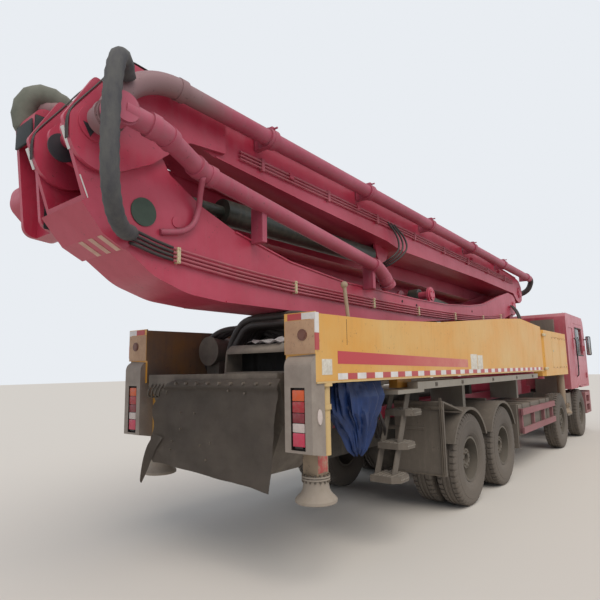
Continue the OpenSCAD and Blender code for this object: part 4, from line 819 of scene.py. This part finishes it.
# Bare red vinyl band that fades towards the front, three blank white plates and a dark seam
band, tree = blank_material("faded_red_vinyl")
coords = add(tree, "ShaderNodeTexCoord")
parts = add(tree, "ShaderNodeSeparateXYZ", {0: coords.outputs["Object"]})
bleached = add(tree, "ShaderNodeMapRange", {0: parts.outputs["X"], 1: -4.2, 2: -2.0, 3: 0.0, 4: 0.85})
worn = add(tree, "ShaderNodeTexNoise", {"Vector": coords.outputs["Object"], "Scale": 5, "Detail": 8,
           "Roughness": 0.7})
patchy = add(tree, "ShaderNodeMath", {0: bleached, 1: worn.outputs["Fac"]}, operation="MULTIPLY_ADD")
patchy.inputs[2].default_value = 0.02
vinyl = add(tree, "ShaderNodeMix", {0: patchy, 6: linear("#b5333c"), 7: linear("#d3a184")},
            data_type="RGBA")
film = add(tree, "ShaderNodeBsdfPrincipled", {"Base Color": vinyl, "Roughness": 0.42})
add(tree, "ShaderNodeOutputMaterial", {"Surface": film})
# Blank enamelled plates, scuffed to a dirty white; the seam is a shadow with dirt in it
plate_white = surface("scuffed_white_plate", ("#d9d4c8", "#b9b2a4"), 0.5, scale=(28, 28, 28),
                      dust="#9a9184", dusty=0.3, bump=0.0006, bump_size=200)
dark_seam = surface("dark_seam", ("#2a2320", "#38302b"), 0.8)
for side, s in both_sides:
    mesh = bmesh.new()
    corners = [(-4.945, 1.752), (-1.97, 1.70), (-1.97, 1.80), (-4.945, 1.858)]
    prism(mesh, [(x, s * beam_face, z) for x, z in corners], [(x, s * 1.2512, z) for x, z in corners])
    close(mesh, f"beam_band_{side}", band, f"leg_rear_{side}", smooth=0)
    mesh = bmesh.new()
    for x0, x1, z0, z1 in ((-5.17, -5.03, 1.665, 1.79), (-1.86, -1.62, 1.67, 1.87),
                           (-1.60, -1.40, 1.67, 1.86)):
        slab(mesh, (x0, s * beam_face, z0), (x1, s * 1.2525, z1), 0.001)
    close(mesh, f"beam_plates_{side}", plate_white, f"leg_rear_{side}")
    plate(f"beam_seam_{side}", dark_seam, f"leg_rear_{side}", (-4.80, s * beam_face, 1.91),
          (-4.795, s * 1.2508, 2.13))

# End plates, lamps and the cream jack tubes at the beams' rear ends
# Tan enamel, satin and bleached, on the end plates
end_brown = surface("tan_end_plate", ("#a68468", "#b59476"), 0.6, bump=0.001, dust="#9b8c7c", dusty=0.4,
                    chips=0.3)
lenses = {}
for tone, code in (("orange", "#cc5626"), ("red", "#a1242c"), ("dark_red", "#7a1d2a"), ("white", "#c4b6b0"),
                   ("rose", "#bd3450")):
    lens, tree = blank_material(f"{tone}_ribbed_lens")
    coords = add(tree, "ShaderNodeTexCoord")
    # Moulded acrylic lens: ribs every 6 mm, glossy under a film of dust
    ribs = add(tree, "ShaderNodeTexWave", {"Vector": coords.outputs["Object"], "Scale": 26},
               bands_direction="Y")
    film_dust = add(tree, "ShaderNodeTexNoise", {"Vector": coords.outputs["Object"], "Scale": 30,
                    "Detail": 6})
    veil = add(tree, "ShaderNodeMapRange", {0: film_dust.outputs["Fac"], 1: 0.45, 2: 0.75, 4: 0.25})
    tint = add(tree, "ShaderNodeMix", {0: veil, 6: linear(code), 7: linear("#8d7f74")}, data_type="RGBA")
    lift = add(tree, "ShaderNodeBump", {"Height": ribs.outputs["Fac"], "Strength": 0.4, "Distance": 0.002})
    acrylic = add(tree, "ShaderNodeBsdfPrincipled", {"Base Color": tint, "Roughness": 0.18, "Normal": lift,
                  "IOR": 1.49})
    add(tree, "ShaderNodeOutputMaterial", {"Surface": acrylic})
    lenses[tone] = lens
for side, s in both_sides:
    body = f"leg_rear_{side}"
    top = 1.552
    for tone, tall in (("orange", 0.088), ("red", 0.088), ("dark_red", 0.078), ("white", 0.072),
                       ("rose", 0.106)):
        plate(f"lamp_{tone}_{side}", lenses[tone], body, (-5.306, s * 1.054, top - tall + 0.003),
              (-5.274, s * 1.172, top), 0.007)
        top -= tall
    mesh = bmesh.new()
    x, z, facets = -5.215, 1.345, 28
    for k in range(facets):
        turns = [2 * math.pi * j / facets for j in (k, k + 1)]
        hub = mesh.verts.new((x, s * 1.262, z))
        rim, foot = [[mesh.verts.new((x + a * math.cos(t), s * y, z + b * math.sin(t))) for t in turns]
                     for a, b, y in ((0.028, 0.058, 1.258), (0.030, 0.060, 1.252))]
        mesh.faces.new((hub, rim[0], rim[1]))
        mesh.faces.new((rim[0], foot[0], foot[1], rim[1]))
    bmesh.ops.remove_doubles(mesh, verts=mesh.verts, dist=0.0002)
    close(mesh, f"side_reflector_{side}", lenses["white"], body, smooth=60)
    plate(f"end_plate_{side}", end_brown, body, (-5.2685, s * 0.955, 1.832), (beam_end, s * 1.258, 2.10),
          0.001)
    mesh = bmesh.new()
    rod(mesh, (-5.267, s * 1.138, 1.982), (-5.276, s * 1.138, 1.982), 0.046, 32)
    rod(mesh, (-5.275, s * 1.138, 1.982), (-5.280, s * 1.138, 1.982), 0.034, 24)
    close(mesh, f"end_disc_{side}", surface("brown_reflector", ("#5f3a2c", "#70473a"), 0.4, bump=0.001),
          body)
    # Cream tube with its collars, in front of the lamps
    mesh = bmesh.new()
    for low, high, r in ((1.045, 1.585, 0.0425), (1.395, 1.435, 0.052), (1.575, 1.602, 0.064)):
        rod(mesh, (-5.09, s * 1.212, low), (-5.09, s * 1.212, high), r, 28)
    close(mesh, f"cream_tube_{side}", cream_enamel, body)


# Bolts round the jacks' flanges, and a red smear on the rear legs where the paint was touched up
def bolt_ring(mesh, x, y, z, ring_radius, count, size, tall):
    """Adds a ring of hexagon bolts that stand upright."""
    for k in range(count):
        a = 2 * math.pi * (k + 0.5) / count
        at = (x + ring_radius * math.cos(a), y + ring_radius * math.sin(a))
        rod(mesh, (*at, z), (*at, z + tall), size, 6)


# Each ring is (height over the foot, ring radius, count, bolt radius, bolt length)
jack_rings = {"rear": ((0.209, 0.106, 16, 0.011, 0.014), (0.160, 0.109, 16, 0.009, 0.017)),
              "front": ((0.209, 0.137, 12, 0.011, 0.014), (0.172, 0.137, 12, 0.011, 0.018),
                        (0.138, 0.137, 12, 0.011, 0.014))}
for side, s in both_sides:
    for place, x, y, foot in (("rear", jack_x, jack_y, 0.65), ("front", 4.21, 1.10, 0.64)):
        mesh = bmesh.new()
        for up, ring_radius, count, size, tall in jack_rings[place]:
            bolt_ring(mesh, x, s * y, foot + up, ring_radius, count, size, tall)
        close(mesh, f"jack_bolts_{place}_{side}", nut_steel, f"jack_{place}_{side}")
    # Brushed-on red enamel, which has bled into the mud in patches
    smear_red = surface("red_touch_up", ("#b4524e", "#a9826e"), 0.6, scale=(18, 18, 18), dust="#84766a",
                        split=(0.45, 0.6))
    plate(f"leg_smear_{side}", smear_red, f"jack_rear_{side}", (-5.068, s * 1.115, 0.885),
          (-4.940, s * 1.1165, 1.045), 0.0004)

# Front legs: latches, hinge straps and a screwed panel on each box
box_face = 1.238
for side, s in both_sides:
    mesh = bmesh.new()
    for z in (1.62, 2.28):
        slab(mesh, (2.19, s * 1.235, z), (2.42, s * 1.262, z + 0.05), 0.006)
        for x in (2.23, 2.38):
            rod(mesh, (x, s * 1.262, z + 0.025), (x, s * 1.272, z + 0.025), 0.012, 6)
    slab(mesh, (2.98, s * box_face, 1.98), (3.06, s * 1.256, 2.02), 0.004)
    slab(mesh, (4.14, s * box_face, 1.72), (4.20, s * 1.256, 1.76), 0.004)
    close(mesh, f"front_leg_latches_{side}", cream, f"leg_front_{side}")
    mesh = bmesh.new()
    for x in (2.95, 3.25, 3.54, 3.70, 3.95, 4.20):
        for z in (1.665, 2.265):
            rod(mesh, (x, s * 1.249, z), (x, s * 1.255, z), 0.010, 6)
    close(mesh, f"front_leg_screws_{side}", nut_steel, f"leg_front_{side}")

# Rod with a knob, which stands on the right beam near its rear end
mesh = bmesh.new()
rod(mesh, (-4.655, -1.18, 2.13), (-4.705, -1.18, 2.43), 0.017, 16)
bmesh.ops.create_uvsphere(mesh, u_segments=20, v_segments=12, radius=0.032,
                          matrix=Matrix.Translation((-4.708, -1.18, 2.448)))
close(mesh, "beam_knob_rod", jack_paint, "leg_rear_right")

# Apron
# Conveyor rubber, 10 mm thick and grey with splashed cement, bolted along the hopper's lip.
# Its left edge is torn into a strip that has curled, and its top has rolled over the lip.
apron_rubber = surface("cement_splashed_rubber", ("#635b54", "#736a61"), 0.8, scale=(3.2, 3.2, 3.2),
                       bump=0.004, bump_size=26, dust="#6d655b", dusty=0.6, low=0.25)


def draped(mesh, rows, columns, place, thickness):
    """Adds a sheet whose points a function gives, from 0 to 1 both ways, and returns its area."""
    grid = [[mesh.verts.new(place(i / rows, k / columns)) for k in range(columns + 1)]
            for i in range(rows + 1)]
    weave(mesh, grid, closed=False)
    area = sum(face.calc_area() for face in mesh.faces)
    bmesh.ops.solidify(mesh, geom=mesh.faces[:], thickness=thickness)
    return area


def apron_point(v, u):
    """A place on the apron, v of the way down and u of the way from its right edge to its left."""
    z_right, z_left = 1.645 - 0.912 * v, 1.640 - 0.795 * v
    y_right = -0.935 + 0.16 * v ** 1.3 + 0.02 * math.sin(5 * v)
    y_left = 0.40 + 0.28 * (v / 0.32) ** 0.6 if v < 0.32 else 0.68 - 0.03 * math.sin((v - 0.32) * 9)
    roll = math.exp(-((v - 0.055) / 0.05) ** 2)
    wave = 0.012 * math.sin(7 * u + 3 * v) + 0.010 * math.sin(15 * u * v + 2)
    ridge = 0.014 * math.exp(-((u - 0.55 - 0.35 * (v - 0.45)) / 0.05) ** 2 - ((v - 0.42) / 0.22) ** 2)
    ridge += 0.012 * math.exp(-((u - 0.32) / 0.09) ** 2 - ((v - 0.52) / 0.06) ** 2)
    curl = 0.07 * max(0.0, (u - 0.86) / 0.14) ** 2 * min(1, v * 2.5)
    bumpy = 0.010 * noise.noise(Vector((u * 7, v * 7, 3.1)))
    bumpy += 0.004 * noise.noise(Vector((u * 30, v * 30, 8.4)))
    x = -5.292 - (0.045 * roll + (wave + ridge + bumpy) * min(1, v * 6) + curl)
    return x, y_right + (y_left - y_right) * u, z_right + (z_left - z_right) * u - 0.018 * roll


mesh = bmesh.new()
draped(mesh, 44, 56, apron_point, thickness=0.010)
piece = close(mesh, "torn_apron", apron_rubber, "root", smooth=50)
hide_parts("apron")
mesh = bmesh.new()
strip = along([(-5.345, 0.60, 1.10), (-5.375, 0.66, 1.00), (-5.385, 0.715, 0.88), (-5.38, 0.77, 0.77),
               (-5.37, 0.83, 0.66), (-5.36, 0.845, 0.635)], 24)
rows = []
for i, at in enumerate(strip):
    t = i / (len(strip) - 1)
    half_width = 0.050 * (1 - t) ** 0.6 + 0.006
    lean = math.radians(15 + 75 * t)
    across = Vector((-math.sin(lean) * 0.8, math.cos(lean), 0.25)).normalized()
    rows.append([mesh.verts.new(place) for place in (at - across * half_width, at + Vector((0.006, 0, 0)),
                                                     at + across * half_width)])
weave(mesh, rows, closed=False)
bmesh.ops.solidify(mesh, geom=mesh.faces[:], thickness=0.008)
close(mesh, "apron_torn_strip", apron_rubber, "root", smooth=50)
mesh = bmesh.new()
for y, z in ((0.30, 1.33), (0.10, 1.33), (0.02, 1.05), (-0.12, 1.08), (0.42, 1.06), (0.45, 0.98),
             (-0.06, 0.93), (0.30, 1.18), (-0.55, 1.52), (-0.35, 1.54)):
    rod(mesh, (-5.315, y, z), (-5.332, y, z), 0.010, 10)
for k in range(9):
    rod(mesh, (-5.315, -0.85 + 0.15 * k, 1.60), (-5.355, -0.85 + 0.15 * k, 1.60), 0.013, 6)
close(mesh, "apron_bolts", nut_steel, "root")

# Hopper
# Welded sheet steel crusted with grey concrete, with a hinged grate and a bent sheet lid.
# A torn rag lies on the grate, and a rubber curtain hangs inside the lid.
crusted_steel = surface("concrete_crusted_steel", ("#5d554d", "#756c62"), 0.85, scale=(6, 6, 6), bump=0.004,
                        bump_size=45, dust="#8d857a", dusty=0.7)
dress(crusted_steel, "hopper", "hopper_grate")
# Torn cotton cloth, quite matte, white with grey cement in its folds
rag_cloth = surface("white_torn_rag", ("#d8d6d6", "#b9b5b6"), 0.9, scale=(12, 12, 12), bump=0.002,
                    bump_size=160, dust="#a39c94", dusty=0.2)


def rag_point(u, v):
    """A place on the rag, u of the way along it and v across."""
    ragged = 0.5 + 0.5 * noise.noise(Vector((u * 9, v * 2, 5.5)))
    return (-4.94 + 0.19 * v + 0.02 * noise.noise(Vector((u * 5, v * 3, 1.2))),
            -0.20 - 0.42 * u + 0.015 * noise.noise(Vector((u * 4, v * 6, 9.2))),
            1.972 + (0.055 * ragged * (1 - abs(2 * v - 1)) + 0.012 * math.sin(17 * u)))


mesh = bmesh.new()
rag_area = draped(mesh, 14, 6, rag_point, thickness=0.002)
rag = close(mesh, "torn_rag", rag_cloth, "grate", smooth=60)
# Black rubber curtain that hangs inside the lid and stops the splashes
curtain_rubber = surface("black_splash_rubber", ("#1d1a19", "#292524"), 0.7, bump=0.002, bump_size=70,
                         dust="#4f4943", dusty=0.2)


def curtain_point(u, v):
    """A place on the curtain, u of the way along it and v of the way down."""
    wave = (0.010 * math.sin(23 * u + 1.5 * v) + 0.006 * math.sin(41 * u)) * (0.3 + 0.7 * v)
    return -4.752 + wave, -0.742 + 0.784 * u, 1.944 - 0.245 * v


mesh = bmesh.new()
curtain_area = draped(mesh, 40, 8, curtain_point, thickness=0.003)
curtain = close(mesh, "splash_curtain", curtain_rubber, "grate", smooth=60)
# Bent rods of the grate's stop, left of the apron
mesh = bmesh.new()
for k in range(6):
    way = along([(-5.27, 0.50 + 0.06 * k, 1.60), (-5.31, 0.52 + 0.06 * k, 1.54),
                (-5.29, 0.56 + 0.06 * k, 1.47), (-5.22, 0.58 + 0.05 * k, 1.46)], 8)
    bent_rod(mesh, way, 0.009, 8)
close(mesh, "grate_stop_rods", nut_steel, "root")

# Blue cover
# A blue polyethylene sheet bunched and tied round the valve below the right beam. Its edge
# hangs in points.
# Woven polyethylene tape, satin blue, paler where the folds are rubbed
blue_sheet = surface("blue_woven_sheet", ("#10254e", "#1b3970"), 0.5, scale=(9, 9, 4), bump=0.002,
                     bump_size=150, dust="#50607c", dusty=0.35, split=(0.3, 0.7))
mesh = bmesh.new()
around, down = 96, 60
# Height, half length and half width of the bunch, from its top down
outline = [(1.585, 0.40, 0.17), (1.45, 0.41, 0.20), (1.30, 0.37, 0.19), (1.20, 0.27, 0.17),
           (1.08, 0.18, 0.13), (0.96, 0.12, 0.09), (0.90, 0.05, 0.04)]
grid = []
for i in range(down + 1):
    t = i / down * (len(outline) - 1)
    n = min(int(t), len(outline) - 2)
    f = t - n
    f = f * f * (3 - 2 * f)
    z, half_x, half_y = [(1 - f) * a + f * b for a, b in zip(outline[n], outline[n + 1])]
    row = []
    for k in range(around):
        a = 2 * math.pi * k / around
        fold = 0.07 * noise.noise(Vector((3 * math.cos(a), 3 * math.sin(a), z * 3.2)))
        fold += 0.16 * abs(noise.noise(Vector((5 * math.cos(a) + 7, 5 * math.sin(a), z * 2.4)))) - 0.05
        crease = 0.05 * abs(noise.noise(Vector((11 * math.cos(a), 11 * math.sin(a) + 3, z * 6.0))))
        r = 1 + fold / 0.2 * 0.55 + crease
        x = -4.17 - 0.18 * (half_x - 0.05) + half_x * r * math.cos(a)
        y = -0.93 + half_y * r * math.sin(a)
        point = 0.05 * noise.noise(Vector((4 * math.cos(a), 4 * math.sin(a), 0.4))) * i / down
        row.append(mesh.verts.new((x, max(y, -1.20), z + point)))
    grid.append(row)
weave(mesh, grid)
blue_area = sum(f.calc_area() for f in mesh.faces)
bmesh.ops.recalc_face_normals(mesh, faces=mesh.faces)
bmesh.ops.solidify(mesh, geom=mesh.faces[:], thickness=0.0015)
blue = close(mesh, "bunched_blue_sheet", blue_sheet, "root", smooth=55)
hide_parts("valve_cover")

# Chassis
# Riveted channel frame in black enamel under road dust, with cast axles, leaf springs,
# tanks of folded sheet and the pump unit between the rails.
chassis_paint = weathered("dusty_black_chassis", "#2b2927", "#3a3734", "#6f675c", dusty=0.7, rough=0.7,
                          low=0.55)
dress(chassis_paint, "frame_rails", "axles", "engine", "pump_unit", "knuckle_1_left", "knuckle_1_right",
      "knuckle_2_left", "knuckle_2_right")
# Folded sheet steel, matte under a coat of grey-brown dust
sheet_grey = weathered("dusty_sheet_steel", "#6b635b", "#7c736a", "#8a8072", dusty=0.6, rough=0.75, low=0.4)
dress(sheet_grey, "tanks")
# Moulded mudguards and chequered treads, black under the dust that the wheels throw up
dress(weathered("dusty_black_mudguard", "#575048", "#655d54", "#7a7167", dusty=0.5, rough=0.8, low=0.4),
      "mudguards")
# Hot-dip galvanised steel, a dull zinc grey
channel_grey = weathered("galvanised_channel", "#8b857b", "#9a9389", "#93897b", dusty=0.5, rough=0.6,
                         metallic=0.3)
dress(channel_grey, "deck")
# Red enamel on the side guards, bleached to a dusty rose
dress(weathered("faded_rose_guard", "#84474f", "#955b62", "#80716a", low=0.5, rough=0.6), "side_guards")
mesh = bmesh.new()
for side, s in both_sides:
    for x in (0.72, 1.24, 1.90, 2.42):
        slab(mesh, (x, s * 0.60, 1.060), (x + 0.05, s * 1.156, 1.068), 0.002)
        slab(mesh, (x, s * 1.150, 0.56), (x + 0.05, s * 1.157, 1.068), 0.002)
close(mesh, "tank_straps", nut_steel, "root")
# Rods and a clamp rail behind the rear wheels, which hold the rubber flap
flap_face = -2.850
mesh = bmesh.new()
for side, s in both_sides:
    for y in (1.225, 1.205):
        rod(mesh, (-2.845, s * y, 1.36), (-2.845, s * y, 0.50), 0.008, 8)
    slab(mesh, (flap_face, s * 0.64, 1.225), (-2.832, s * 1.238, 1.262), 0.003)
    for k in range(7):
        y = s * (0.68 + 0.085 * k)
        rod(mesh, (flap_face, y, 1.243), (flap_face - 0.008, y, 1.243), 0.010, 6)
    slab(mesh, (flap_face, s * 0.63, 0.490), (-2.832, s * 1.236, 0.505), 0.002)
close(mesh, "flap_frames", nut_steel, "root")
# Pressed tread pattern: raised teats on the three steps, but not at their outer corners, and on their edges
mesh = bmesh.new()
for x, z in ((-3.65, 1.28), (-3.83, 0.97), (-4.00, 0.68)):
    for i in range(9):
        for k in range(6):
            at = (x + 0.035 + 0.029 * i, -1.215 + 0.045 * k)
            if x + 0.08 <= at[0] <= x + 0.22 or at[1] >= -1.19:
                rod(mesh, (*at, z - 0.001), (*at, z + 0.005), 0.008, 8)
    for i in range(6):
        along_edge = x + 0.075 + 0.03 * i
        rod(mesh, (along_edge, -1.2495, z - 0.03), (along_edge, -1.253, z - 0.03), 0.007, 8)
close(mesh, "step_teats", channel_grey, "root")
# Hinge plates and their bolts on the long light beams below the side beams
mesh = bmesh.new()
for side, s in both_sides:
    for x in (-3.0, -2.2, -1.0, 0.2, 1.2):
        slab(mesh, (x, s * 1.238, 1.500), (x + 0.06, s * 1.246, 1.545), 0.003)
        rod(mesh, (x + 0.03, s * 1.244, 1.522), (x + 0.03, s * 1.252, 1.522), 0.010, 6)
close(mesh, "light_beam_fittings", nut_steel, "root")

# Cab
# Pressed steel cab in faded red enamel, with black plastic trim and tinted laminated glass.
# Its doors, mirrors, wipers, lamps and grille bars are fixed to it; the bumper is on the frame.
cab_paint = weathered("faded_cab_enamel", "#a8404f", "#c06c78", "#948880", rough=0.32, low=0.4, chips=0.3)
dress(cab_paint, "cab_shell", "door_left", "door_right")
# The bumper's enamel is duller, from road dirt; the trim inside is dark moulded plastic
dress(weathered("rose_bumper_enamel", "#8d4a50", "#9d5e63", "#857a70", rough=0.45, low=0.5), "bumper")
dress(weathered("grey_cab_trim", "#2f2f31", "#3a3a3c", "#6b655d"), "cab_interior")
# Moulded plastic with a fine grain, black going grey with dust
black_plastic = weathered("black_grained_plastic", "#1b1b1c", "#29292a", "#6b655d", rough=0.6, chips=0.0)
dress(black_plastic, "mirrors")
# Laminated glass with a grey-green tint, hazy where dust sticks to it
glass, glass_tree = blank_material("tinted_glass")
coords = add(glass_tree, "ShaderNodeTexCoord")
film_dust = add(glass_tree, "ShaderNodeTexNoise", {"Vector": coords.outputs["Object"], "Scale": 3.0,
                "Detail": 7})
haze = add(glass_tree, "ShaderNodeMapRange", {0: film_dust.outputs["Fac"], 1: 0.4, 2: 0.8, 3: 0.03, 4: 0.3})
pane = add(glass_tree, "ShaderNodeBsdfPrincipled", {"Base Color": linear("#46554f"), "Roughness": haze,
           "Transmission Weight": 0.8, "IOR": 1.52})
add(glass_tree, "ShaderNodeOutputMaterial", {"Surface": pane})
dress(glass, "cab_glass")
door_face = 1.236
lamp_height = 0.74
for side, s in both_sides:
    plate(f"door_pane_{side}", glass, f"door_{side}", (5.602, s * 1.215, 1.932), (6.578, s * 1.219, 2.638),
          0.001)
    mesh = bmesh.new()
    slab(mesh, (5.60, s * door_face, 1.925), (6.58, s * 1.246, 1.952), 0.004)
    slab(mesh, (5.60, s * door_face, 2.616), (6.54, s * 1.246, 2.640), 0.004)
    slab(mesh, (5.596, s * door_face, 1.94), (5.622, s * 1.246, 2.63), 0.004)
    slab(mesh, (5.62, s * 1.240, 1.662), (5.74, s * 1.262, 1.686), 0.006)
    close(mesh, f"door_trim_{side}", black_plastic, f"door_{side}")
    mesh = bmesh.new()
    way = along([(5.44, s * door_face, 1.42), (5.44, s * 1.275, 1.46), (5.44, s * 1.285, 1.70),
                (5.44, s * 1.285, 2.10), (5.44, s * 1.275, 2.32), (5.44, s * door_face, 2.36)], 18)
    bent_rod(mesh, way, 0.014, 12)
    close(mesh, f"grab_rail_{side}", black_plastic, "cab")
    plate(f"mirror_face_{side}", rod_chrome, "cab", (6.756, s * 1.30, 1.97), (6.760, s * 1.39, 2.43), 0.002)
    plate(f"headlamp_backing_{side}", black_plastic, "root", (6.952, s * 0.825, 0.645),
          (6.966, s * 1.155, 0.835), 0.004)
    for label, x0, x1, r, finish in (("headlamp_rim", 6.960, 6.984, 0.076, rod_chrome),
                                     ("headlamp", 6.970, 6.991, 0.066, lenses["white"])):
        mesh = bmesh.new()
        for y in (0.91, 1.07):
            rod(mesh, (x0, s * y, lamp_height), (x1, s * y, lamp_height), r, 32)
        close(mesh, f"{label}_{side}", finish, "root")
    plate(f"indicator_{side}", lenses["orange"], "cab", (6.984, s * 1.02, 1.30), (6.996, s * 1.16, 1.40),
          0.004)
mesh = bmesh.new()
for y in (-0.98, -0.30, 0.38):
    rod(mesh, (6.985, y, 1.915), (7.008, y, 1.918), 0.020, 12)
    rod(mesh, (7.000, y + 0.01, 1.92), (6.990, y + 0.34, 2.045), 0.007, 8)
    rod(mesh, (6.981, y + 0.06, 2.022), (6.976, y + 0.62, 2.068), 0.009, 8)
close(mesh, "wipers", black_plastic, "cab")
mesh = bmesh.new()
for k in range(5):
    slab(mesh, (6.992, -0.715, 1.366 + 0.09 * k), (6.998, 0.715, 1.384 + 0.09 * k), 0.002)
for z in (1.275, 1.815):
    slab(mesh, (6.989, -0.74, z), (6.996, 0.74, z + 0.020), 0.003)
close(mesh, "grille_bars", black_plastic, "cab")
mesh = bmesh.new()
for y in (-0.8, -0.4, 0.0, 0.4, 0.8):
    slab(mesh, (6.62, y - 0.05, 2.925), (6.68, y + 0.05, 2.955), 0.012)
close(mesh, "roof_markers", lenses["orange"], "cab")

low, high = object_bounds()
